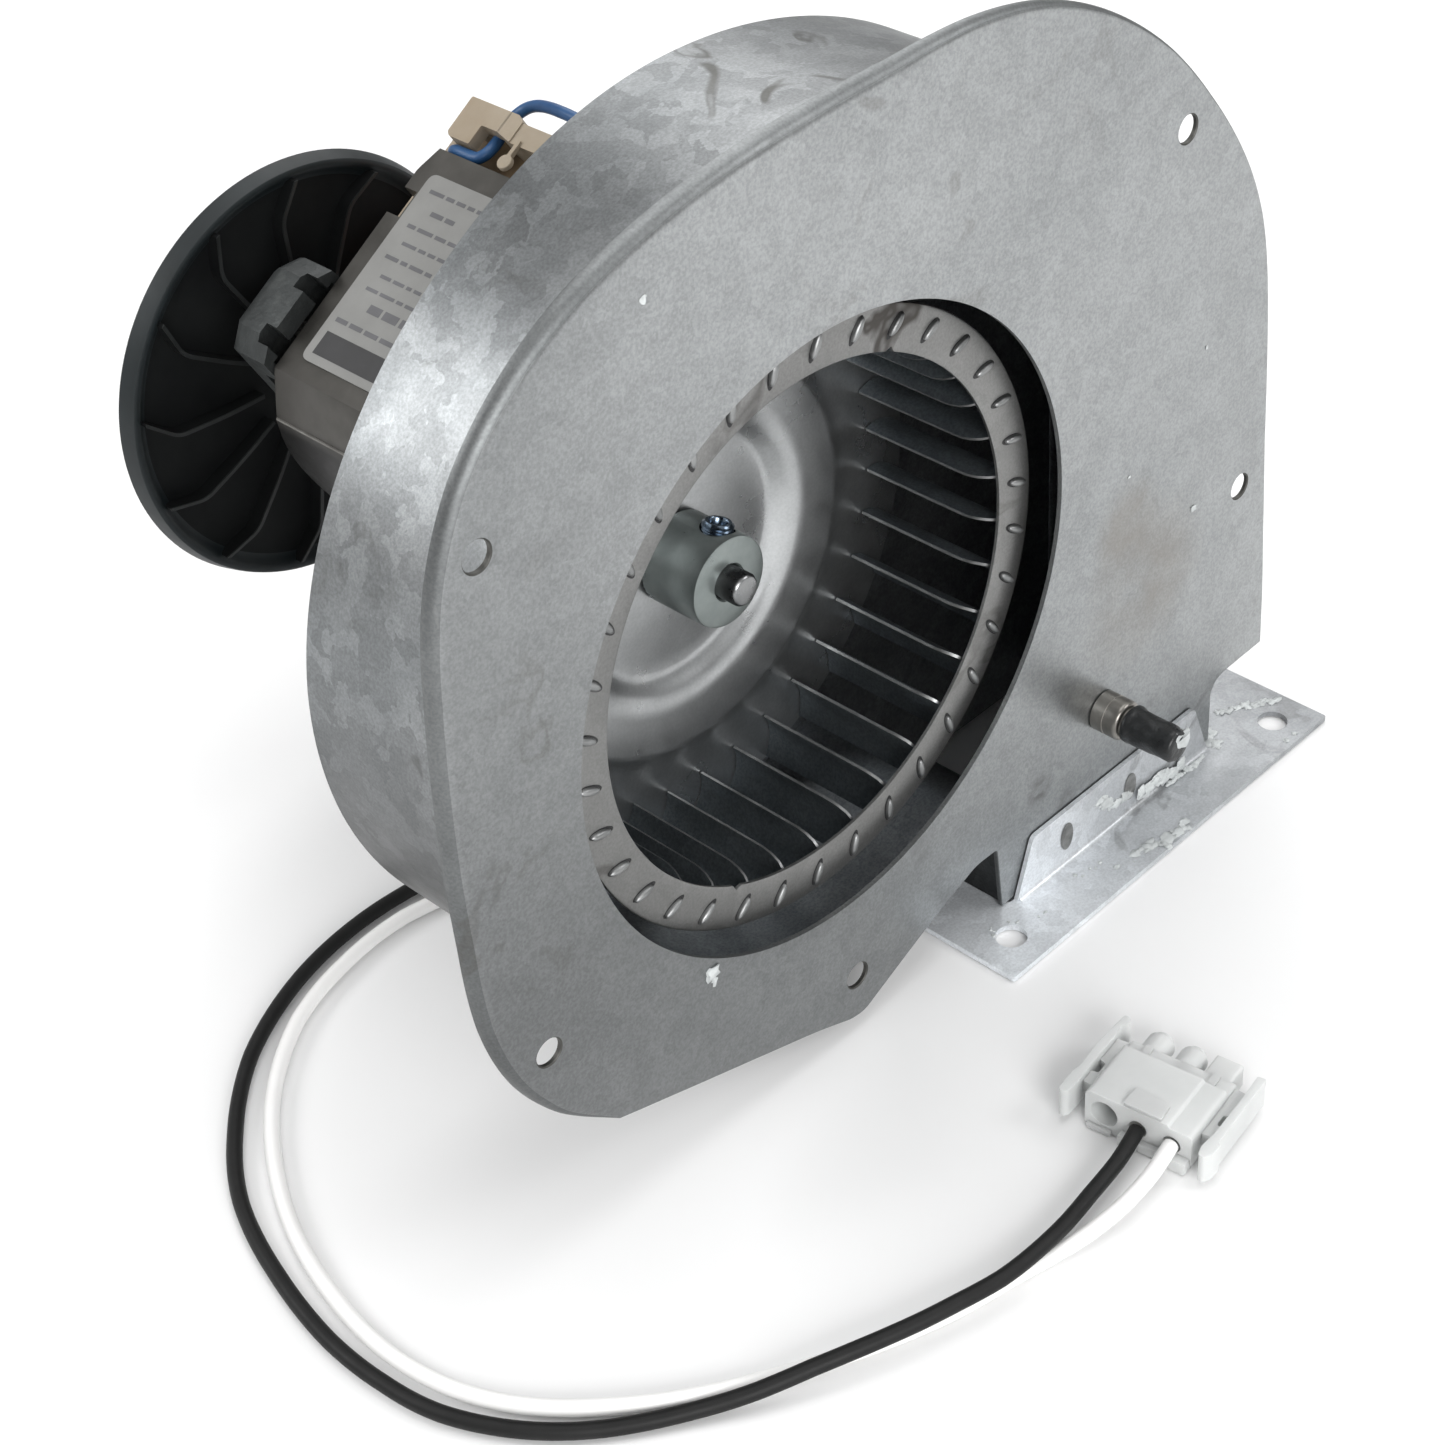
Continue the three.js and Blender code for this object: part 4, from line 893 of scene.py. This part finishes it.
def blade_tab(angle):
    """A blade's tab, pushed through its slot in the ring and folded over into a rounded lump."""
    cosine, sine = math.cos(angle), math.sin(angle)

    def place(along, side, y):
        # The tab leans from the ring's radius by a fifth of a right angle.
        r, q = 67.6 + along * 0.95 - side * 0.31, side * 0.95 - along * 0.31
        return r * cosine - q * sine, y, r * sine + q * cosine

    slot = [(3.3 * math.cos(a), 1.6 * math.sin(a)) for a in [math.pi * k / 12 for k in range(24)]]
    shapes = [([place(a, b, 6.97) for a, b in slot], [list(range(24))], 3)]
    rings, sides = 6, 20
    vertices = [place(0.4, 0.0, 5.8)]
    for k in range(1, rings + 1):
        swell = math.sin(math.pi / 2 * k / rings)
        rise = math.cos(math.pi / 2 * k / rings) ** 0.6
        vertices += [place(0.4 + 2.8 * swell * math.cos(a), 1.28 * swell * math.sin(a), 7.02 - 1.22 * rise)
                     for a in [2 * math.pi * j / sides for j in range(sides)]]
    faces = [[0, 1 + j, 1 + (j + 1) % sides] for j in range(sides)]
    for k in range(rings - 1):
        first = 1 + k * sides
        faces += [[first + j, first + (j + 1) % sides, first + sides + (j + 1) % sides, first + sides + j]
                  for j in range(sides)]
    shapes.append((vertices, faces, 2))
    return shapes


def make_wheel():
    ring = [(RING_INNER, 7.15), (RING_INNER + 0.3, 7.0), (71.9, 7.0), (72.4, 7.15), (72.6, 7.5), (72.6, 7.9),
            (RING_INNER, 7.9)]

    def notched(x, y, z):
        """Two small notches in the ring's inner edge."""
        radius, angle = math.hypot(x, z), math.degrees(math.atan2(z, x)) % 360
        if radius < RING_INNER + 0.4 and min(abs(angle - 64.4), abs(angle - 242.0)) < 0.75:
            return x * (radius + 1.1) / radius, y, z * (radius + 1.1) / radius
        return x, y, z

    shapes = [moved(lathe(ring, 256), notched)]
    for i in range(BLADES):
        turn = math.radians(360 * (i + 0.36) / BLADES)
        c, s = math.cos(turn), math.sin(turn)

        def place(r, side, y):
            return r * c - side * s, y, r * s + side * c

        rows, columns = 14, 7
        grid = [[], []]
        for j in range(rows):
            t = j / (rows - 1)
            y = 7.9 + (BACK_Y - 0.3 - 7.9) * (t ** 1.4)
            corner = max(0.0, 1 - (y - 7.9) / 9.0)
            inner = 60.4 + 6.2 * (1 - math.sqrt(max(0.0, 1 - corner ** 2)))
            for k in range(columns):
                q = k / (columns - 1)
                r = inner + (71.6 - inner) * q
                share = (r - 60.4) / 11.2
                side = -4.2 * share + 1.9 * 4 * share * (1 - share)
                grid[0].append(place(r, side, y))
                grid[1].append(place(r, side + 0.7, y))
        size = rows * columns
        faces = [[j * columns + k, j * columns + k + 1, (j + 1) * columns + k + 1, (j + 1) * columns + k]
                 for j in range(rows - 1) for k in range(columns - 1)]
        faces += [[size + v for v in face] for face in faces]
        shapes.append((grid[0] + grid[1], faces, 1))
        border = ([j * columns for j in range(rows)],
                  [j * columns + columns - 1 for j in range(rows)],
                  list(range(columns)), list(range(size - columns, size)))
        rim_faces = [[a, b, size + b, size + a] for line in border for a, b in zip(line, line[1:])]
        shapes.append((grid[0] + grid[1], rim_faces, 2))

        shapes += blade_tab(turn - math.radians(1.9))
    finish_mesh("wheel_ring_and_blades", shapes, [WHEEL, BLADE, EDGE, SLOT], body="rotor",
                replaces=("wheel_ring_blades",), crease=35)

    knots = [(8.4, 50.0), (29.0, 50.0), (31.0, 49.4), (34.0, 47.6), (37.0, 46.5), (40.0, 46.1), (47.0, 45.5),
             (48.6, 45.5), (50.4, 46.2), (52.0, 46.6), (60.0, 46.6), (WHEEL_R, 46.6)]
    front = [tuple(p[:2]) for p in spline(knots, 5)]
    profile = front + [(r, y + 0.9) for r, y in reversed(front)]
    finish_mesh("wheel_dish", [lathe(profile, 192)], DISH, body="rotor",
                replaces=("wheel_back_plate",), crease=50)


make_wheel()

# ---------- motor: stack, brackets, label, terminal block ----------
STACK_V = 40.6


def surface_material(target, material):
    for name in target if isinstance(target, (list, tuple)) else [target]:
        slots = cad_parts[name].data.materials
        slots.clear()
        slots.append(material)


surface_material("back_plate", INSIDE)
surface_material("rotor_core", LAMINATION)
surface_material("front_bracket", CAST)
surface_material(["rear_bearing", "front_bearing"], BRONZE)
surface_material("coil_winding", COPPER)
surface_material("bobbin", CREAM)
surface_material(["through_bolt_1", "through_bolt_2", "spacer_1", "spacer_2"], PLATED)
surface_material("lead_bushing", FAN)
for name, width in (("front_bracket", 0.7), ("bobbin", 0.3),
                    ("coil_winding", 1.6), ("lead_bushing", 0.5)):
    add_bevel(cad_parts[name], width, 3)


def motor_slab(outline, v0, v1):
    """A flat outline in u and y, as thick as v0 to v1."""
    return [moved(shape, lambda a, b, c: (a, c, b)) for shape in slab(outline, v0, v1)]


def make_stack():
    """The laminated C: flat sides, one rounded side, a coil window and slots across the bolts."""
    top, y0, y1 = 51.8, 101.0, 145.0
    side = [(-26.2, 8.0), (-25.7, 16.0), (-24.1, 24.0), (-21.5, 30.2)]
    curve = [tuple(p[:2]) for p in spline(side, 6)] + [(-13.2, 39.9), (-12.4, STACK_V)]
    loop = curve + [(top, STACK_V), (top, -STACK_V)] + [(u, -v) for u, v in curve[::-1]]
    window = fillet([(23.0, -25.6), (39.8, -25.6), (39.8, 25.6), (23.0, 25.6)], 0.8, 3)
    holes = [circle(19.1, 0, 0, 96), window, circle(2.4, 0, 34, 24), circle(2.4, 0, -34, 24)]
    loop = loop[::-1]
    shapes = []
    rings = [(0.55, y0), (0.16, y0 + 0.16), (0.0, y0 + 0.55), (0.0, y1 - 0.55), (0.16, y1 - 0.16), (0.55, y1)]
    placed = [(inset(loop, d), y) for d, y in rings]
    for (loop_a, ya), (loop_b, yb) in zip(placed, placed[1:]):
        shapes.append(walls(loop_a, ya, loop_b, yb))
    for loop_c, yc in (placed[0], placed[-1]):
        shapes.append(fill([loop_c, *holes], yc))
    for hole in holes:
        shapes.append(walls(hole, y0, hole, y1))
    made = finish_mesh("stator_laminations", shapes, LAMINATION, replaces=("stator_stack",),
                       at=motor_point, crease=25)
    cutters = []
    for sign in (-1, 1):
        v0, v1 = sorted((33.6 * sign, 42.0 * sign))
        cutters.append(block(32.6, 39.8, y1 - 4.6, y1 + 1, v0, v1))
        v0, v1 = sorted((26.0 * sign, 42.0 * sign))
        wedge = [(44.0, y1 + 1), (44.0, y1), (52.8, y1 - 2.6), (54.0, y1 + 1)]
        vertices = [(u, y, v) for v in (v0, v1) for u, y in wedge]
        cutters.append((vertices, [[0, 1, 2, 3], [7, 6, 5, 4], [0, 4, 5, 1], [1, 5, 6, 2], [2, 6, 7, 3], [3, 7, 4, 0]]))
    cut_away(made, cutters, LAMINATION, motor_point)
    # A thin weld bead runs along the sloping side.
    seam, along, out = (-20.9, 30.9), (-0.65, -0.76), (-0.76, 0.65)
    section = [(seam[0] + along[0] * a + out[0] * b, seam[1] + along[1] * a + out[1] * b)
               for a, b in ((-0.45, -0.1), (-0.22, 0.28), (0.22, 0.28), (0.45, -0.1))]
    bead = [(u, y, v) for y in (y0 + 0.6, y1 - 0.6) for u, v in section]
    faces = [[0, 1, 2, 3], [7, 6, 5, 4], [0, 4, 5, 1], [1, 5, 6, 2], [2, 6, 7, 3], [3, 7, 4, 0]]
    finish_mesh("stack_weld_bead", [(bead, faces)], EDGE_DULL, at=motor_point)


def cut_away(made, tools, material, at):
    """Cuts closed shapes out of a finished piece and keeps only plain mesh."""
    tool = finish_mesh(made.name + "_tool", tools, material, at=at)
    boring = made.modifiers.new("cut", "BOOLEAN")
    boring.operation = "DIFFERENCE"
    boring.solver = "EXACT"
    boring.object = tool
    bpy.context.view_layer.update()
    result = bpy.data.meshes.new_from_object(made.evaluated_get(bpy.context.evaluated_depsgraph_get()))
    made.modifiers.clear()
    made.data = result
    for polygon in result.polygons:
        polygon.use_smooth = True
    result.set_sharp_from_angle(angle=math.radians(30))
    bpy.data.objects.remove(tool)


make_stack()


def make_rear_bracket():
    """The cast cover over the shaft's rear bearing: a six-sided dome with small windows at its foot."""
    foot, shoulder, top = 145.35, 156.6, 160.0
    outline = [(-13.5, -43.0), (-8.0, -46.4), (8.0, -46.4), (13.5, -43.0), (15.5, -14.0), (15.5, 14.0),
               (13.5, 43.0), (8.0, 46.4), (-8.0, 46.4), (-13.5, 43.0), (-15.5, 14.0), (-15.5, -14.0)]

    def scaled(across, along):
        return [(u * across, v * along) for u, v in outline]

    rings = [(scaled(1, 1), foot), (scaled(1, 1), 155.2), (scaled(0.97, 0.985), 157.4), (scaled(0.86, 0.95), 159.6),
             (scaled(0.80, 0.93), top)]
    shapes = [walls(a, ya, b, yb) for (a, ya), (b, yb) in zip(rings, rings[1:])]
    shapes += [fill([rings[0][0]], foot), fill([rings[-1][0]], top)]
    made = finish_mesh("rear_bracket_casting", shapes, CAST, replaces=("rear_bracket",),
                       at=motor_point, crease=22)
    cut_away(made, [block(-11.6, 11.6, foot - 1, shoulder, -41.0, 41.0)], CAST, motor_point)
    tools = []
    for side in (-1, 1):
        v0, v1 = sorted((38.0 * side, 50.0 * side))
        tools += [block(u0, u1, foot - 1, foot + 3.6, v0, v1) for u0, u1 in ((-9.8, -5.2), (5.2, 9.8))]
        u0, u1 = sorted((10.0 * side, 18.0 * side))
        tools += [block(u0, u1, foot - 1, foot + 5.2, v, v + 9.0) for v in (-36.0, -22.0, 13.0, 27.0)]
        tools.append(block(u0, u1, foot - 1, foot + 7.4, -11.5, 11.5))
    cut_away(made, tools, CAST, motor_point)
    add_bevel(made, 0.8, 3, 24)
    boss = [(8.3, 154.9), (13.0, 154.9), (13.0, 160.9), (12.4, 161.6), (9.0, 161.6), (8.3, 161.2)]
    finish_mesh("rear_bearing_boss", [lathe(boss, 64)], CAST, at=motor_point, crease=30)


make_rear_bracket()


def make_label():
    low, high = 104.0, 139.4
    paper = motor_slab(fillet([(-7.6, low), (45.4, low), (45.4, high), (-7.6, high)], 2.4, 5),
                       STACK_V + 0.3, STACK_V + 0.55)
    face = STACK_V + 0.55

    def mark(u0, u1, y0, y1, number):
        vertices, faces = block(u0, u1, y0, y1, face - 0.02, face + 0.04)
        return vertices, faces, number

    shapes = list(paper) + [mark(-5.4, 0.8, 108.0, 137.0, 1)]
    # Rows of short grey bars stand where small print would be; there is no lettering.
    source = random.Random(5)
    for u, thick, top, bottom in ((3.6, 1.2, 137.0, 116.0), (8.6, 2.2, 130.5, 112.0), (13.4, 0.9, 135.0, 114.0),
                                  (17.4, 0.9, 133.5, 113.0), (22.2, 1.0, 136.0, 110.0), (26.6, 0.9, 134.0, 112.0),
                                  (31.0, 1.0, 136.0, 111.0), (35.6, 1.2, 132.0, 124.0), (40.6, 1.0, 136.5, 115.0)):
        y = top
        while y > bottom:
            length = source.uniform(1.6, 5.2)
            shapes.append(mark(u, u + thick, max(y - length, bottom), y, 2))
            y -= length + 0.9
    finish_mesh("rating_label_sheet", shapes, [PAPER, INK, BAR],
                replaces=("rating_label",), at=motor_point, crease=40)


make_label()


def make_block():
    """Nylon block: one face with a recess for the wire, a keyhole tab, and the spool's lug behind it."""
    shapes = []

    def outline_uy(points, v0, v1, number=0, soft=0.5):
        for shape in slab(fillet(points, soft, 3), v0, v1):
            vertices, faces = moved(shape, lambda a, b, c: (a, c, b))
            shapes.append((vertices, faces, number))

    # The lower level takes the darker nylon: painted shade in the block's recess.
    outline_uy([(54.4, 104.0), (66.2, 104.0), (66.2, 142.6), (54.4, 142.6)], 25.6, 33.0, 1, 0.4)
    outline_uy([(59.2, 104.0), (64.8, 104.0), (64.8, 124.4), (59.2, 124.4)], 32.8, 41.6, 0, 0.4)
    outline_uy([(59.2, 124.3), (65.0, 124.3), (66.2, 126.4), (66.2, 129.4), (60.4, 129.4)], 32.8, 42.0, 0, 0.4)
    outline_uy([(60.4, 136.0), (66.2, 136.0), (66.2, 142.6), (60.4, 142.6)], 32.8, 38.6, 0, 0.4)
    outline_uy([(60.4, 128.8), (60.4, 134.6), (55.0, 134.6), (55.0, 141.4), (56.0, 142.6), (66.2, 142.6),
                (66.2, 128.8)], 38.4, 42.0, 0, 0.5)
    outline_uy([(54.9, 120.95), (60.4, 120.95), (60.4, 122.05), (54.9, 122.05)], 41.0, 42.3, 0, 0.2)
    outline_uy([(64.6, 112.6), (67.0, 113.4), (68.2, 116.0), (68.2, 121.6), (67.4, 124.8), (66.0, 127.0),
                (64.6, 127.4)], 26.0, 30.5, 0, 1.2)
    key = moved(lathe([(0.0, 41.0), (1.8, 41.0), (1.95, 41.2), (1.95, 42.2), (1.8, 42.4), (0.0, 42.4)], 40),
                lambda a, b, c: (54.3 + a, 121.5 + c, b))
    shapes.append((key[0], key[1], 0))
    finish_mesh("terminal_block_body", shapes, [CREAM, RECESS_SHADE_NYLON], replaces=("terminal_block",),
                at=motor_point, crease=30, bevel=0.3, segments=3)


make_block()


def make_jumper():
    route = [
        (53.4, 142.4, 35.6), (53.4, 141.2, 38.0), (53.35, 138.6, 39.3), (53.35, 134.6, 39.3),
        (53.7, 132.0, 39.3), (55.6, 130.8, 39.1), (58.4, 131.2, 38.2), (62.6, 132.6, 36.9),
        (66.6, 132.4, 37.2), (69.6, 130.4, 37.8), (71.0, 125.8, 39.4), (70.8, 117.0, 41.6),
        (70.2, 108.0, 42.0), (70.0, 100.0, 39.4), (69.6, 96.0, 33.0), (68.4, 96.0, 24.0),
        (67.4, 96.0, 17.6), (64.6, 96.0, 15.8),
    ]
    data = bpy.data.curves.new("blue_jumper_wire", "CURVE")
    data.dimensions = "3D"
    line = data.splines.new("POLY")
    points = [motor_point(*p) for p in spline(route, 8)]
    line.points.add(len(points) - 1)
    for target, point in zip(line.points, points):
        target.co = (*point, 1)
    data.bevel_depth = 0.00145
    data.bevel_resolution = 6
    data.use_fill_caps = True
    data.materials.append(BLUE)
    made = bpy.data.objects.new("blue_jumper_wire", data)
    bpy.context.scene.collection.objects.link(made)
    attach(made, "housing")
    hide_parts("blue_jumper")


make_jumper()

# ---------- cooling fan ----------
FAN_R, FAN_Y0, FAN_Y1 = 55.0, 175.6, 180.4


def make_fan():
    bore = SHAFT_R + 0.3
    dish = [(bore, 164.0), (9.4, 164.0), (10.0, 164.5), (10.9, 175.2), (12.4, 177.2), (18.0, 178.2),
            (34.0, 178.6), (47.0, 178.3), (49.4, 177.9), (50.8, 177.1), (51.6, 176.2), (52.4, 175.7), (53.2, 175.6),
            (53.8, 175.9), (54.3, 177.2), (55.0, 180.0), (54.8, 180.4), (bore, 180.4)]
    shape = lathe(dish, 160)
    faces_rim, faces_dish = [], []
    for face in shape[1]:
        radius = min(math.hypot(shape[0][i][0], shape[0][i][2]) for i in face)
        (faces_rim if radius > 49.0 else faces_dish).append(face)
    shapes = [(shape[0], faces_dish, 0), (shape[0], faces_rim, 1)]
    for i in range(13):
        turn = math.radians(360 * i / 13 + 8)
        c, s = math.cos(turn), math.sin(turn)
        line = fillet([(17.0, 0.0), (28.0, 1.1), (42.5, 1.4), (51.2, -4.6)], [0, 6, 2.5, 0], 5)
        near = [(r * c - q * s, r * s + q * c) for r, q in line]
        far = [(r * c - (q + 1.0) * s, r * s + (q + 1.0) * c) for r, q in line]
        # Each vane's thin front edge takes the lighter plastic: a painted highlight.
        for number, (y0, y1) in enumerate(((174.6, 179.0), (174.2, 174.6))):
            shapes += [(*shape, number * 2) for shape in slab(near + far[::-1], y0, y1)]
    finish_mesh("cooling_fan_body", shapes, [FAN, FAN_RIM, FAN_EDGE_HIGHLIGHT], body="rotor",
                replaces=("cooling_fan",), crease=35)


make_fan()


# ---------- sealant crumbs and drips ----------
def make_sealant():
    """Dried sealant on the flange, along its tab and on the plate."""
    source = random.Random(11)
    shapes = []
    top = FLOOR + 1.6

    def trail(points, count, spread, sizes, flat, stretch=1.6):
        """Crumbs scattered along a line of points."""
        for i in range(count):
            t = (i + source.uniform(0, 0.9)) / count * (len(points) - 1)
            a, b = points[int(t)], points[min(int(t) + 1, len(points) - 1)]
            x, y, z = (p + (q - p) * (t % 1) + source.uniform(-spread, spread) for p, q in zip(a, b))
            if flat == "z":
                z = a[2]
            else:
                y = a[1]
            shapes.append(crumb(source, x, y, z, source.uniform(*sizes), flat, source.uniform(1.0, stretch)))

    # A smear beside the rear corner hole, flakes behind the cap, and flakes along the front edge.
    trail([(150.6, 4.6, top), (155.0, 3.0, top), (159.4, -0.3, top), (162.7, -1.9, top), (165.0, -4.4, top)],
          26, 0.5, (0.4, 1.15), "z", 2.2)
    trail([(145.4, 7.0, top), (143.0, 2.0, top), (138.2, -1.2, top), (141.0, -4.5, top)], 16, 1.3, (0.5, 1.4), "z")
    trail([(109.5, -16.4, top), (104.7, -16.6, top), (99.4, -16.4, top), (95.8, -14.2, top), (91.0, -12.6, top)],
          24, 1.1, (0.5, 1.5), "z", 2.2)
    trail([(88.0, -14.6, top), (82.0, -10.0, top), (74.0, -6.0, top)], 9, 1.4, (0.25, 0.6), "z")
    trail([(158.2, -16.0, top), (151.0, -16.6, top)], 4, 0.6, (0.4, 0.8), "z")
    trail([(43.6, -6.0, top), (46.2, -2.6, top), (62.0, -12.0, top)], 9, 0.8, (0.2, 0.5), "z")
    # Along the tab: flakes by its second weld, and a thick run where it meets the flange.
    trail([(89.8, -1.6, -103.8), (93.6, -1.6, -104.8), (98.4, -1.6, -109.4), (103.0, -1.6, -109.6)],
          20, 1.0, (0.5, 1.35), "y", 2.0)
    trail([(106.5, -2.6, -111.2), (111.0, -2.6, -110.6), (117.6, -2.6, -111.6), (124.0, -2.6, -113.4)],
          26, 0.9, (0.8, 1.8), "y", 2.2)
    trail([(118.0, -3.4, top + 0.4), (127.0, -3.4, top), (134.0, -3.2, top)], 12, 0.8, (0.4, 1.1), "z", 2.0)
    for x, z, size in ((-45.2, -64.6, 1.9), (-44.9, -67.4, 1.1), (-47.2, 103.9, 0.8), (127.9, -33.8, 0.9),
                       (130.2, 10.9, 0.45), (101.1, -10.8, 0.35)):
        shapes.append(crumb(source, x, -0.1, z, size, "y"))
    finish_mesh("sealant_crumbs", shapes, SEALANT, crease=80)


make_sealant()


# ---------- stage: pale floor and soft studio light ----------
def make_stage():
    data = bpy.data.meshes.new("floor")
    half = 3.0
    data.from_pydata([(-half, -half, -0.0004), (half, -half, -0.0004), (half, half, -0.0004), (-half, half, -0.0004)],
                     [], [[0, 1, 2, 3]])
    material, tree, shader = new_material("floor_white")
    place = coordinates(tree)
    tree.links.new(ramp(tree, noise(tree, place, 3, 2), [(0.3, grey(0.87)), (0.7, grey(0.90))]),
                   shader.inputs["Base Color"])
    shader.inputs["Roughness"].default_value = 0.85
    shader.inputs["Specular IOR Level"].default_value = 0.1
    data.materials.append(material)
    floor = bpy.data.objects.new("floor", data)
    bpy.context.scene.collection.objects.link(floor)

    world = bpy.data.worlds.new("studio")
    bpy.context.scene.world = world
    world.use_nodes = True
    tree = world.node_tree
    background = tree.nodes["Background"]
    direction = node(tree, "ShaderNodeTexCoord").outputs["Generated"]
    split = node(tree, "ShaderNodeSeparateXYZ", {"Vector": direction})
    shade = ramp(tree, node(tree, "ShaderNodeMapRange", {"Value": split.outputs["Z"], "From Min": -0.2,
                                                       "From Max": 1.0}).outputs["Result"],
                 [(0.0, grey(0.35)), (0.35, grey(0.32)), (1.0, grey(0.62))])
    tree.links.new(shade, background.inputs["Color"])
    background.inputs["Strength"].default_value = 0.9

    middle = Vector((-0.08, 0.03, 0.11))

    def area(name, direction, distance, size, power):
        light = bpy.data.lights.new(name, "AREA")
        light.energy = power
        light.shape = "RECTANGLE"
        light.size, light.size_y = size
        made = bpy.data.objects.new(name, light)
        bpy.context.scene.collection.objects.link(made)
        made.location = middle + Vector(direction).normalized() * distance
        made.rotation_euler = (middle - made.location).to_track_quat("-Z", "Y").to_euler()

    area("left_back", (-0.60, 0.55, 0.54), 1.7, (0.9, 0.7), 11)
    area("top", (0.2, 0.04, 0.98), 1.8, (1.5, 1.5), 13)
    area("right_back", (0.58, 0.52, 0.63), 1.9, (1.2, 1.0), 9)
    area("front_left", (-0.42, -0.82, 0.38), 1.8, (1.0, 0.8), 22)
    area("front_right", (0.57, -0.62, 0.54), 1.9, (0.7, 0.6), 7)


make_stage()
bpy.context.scene.view_settings.view_transform = "Standard"
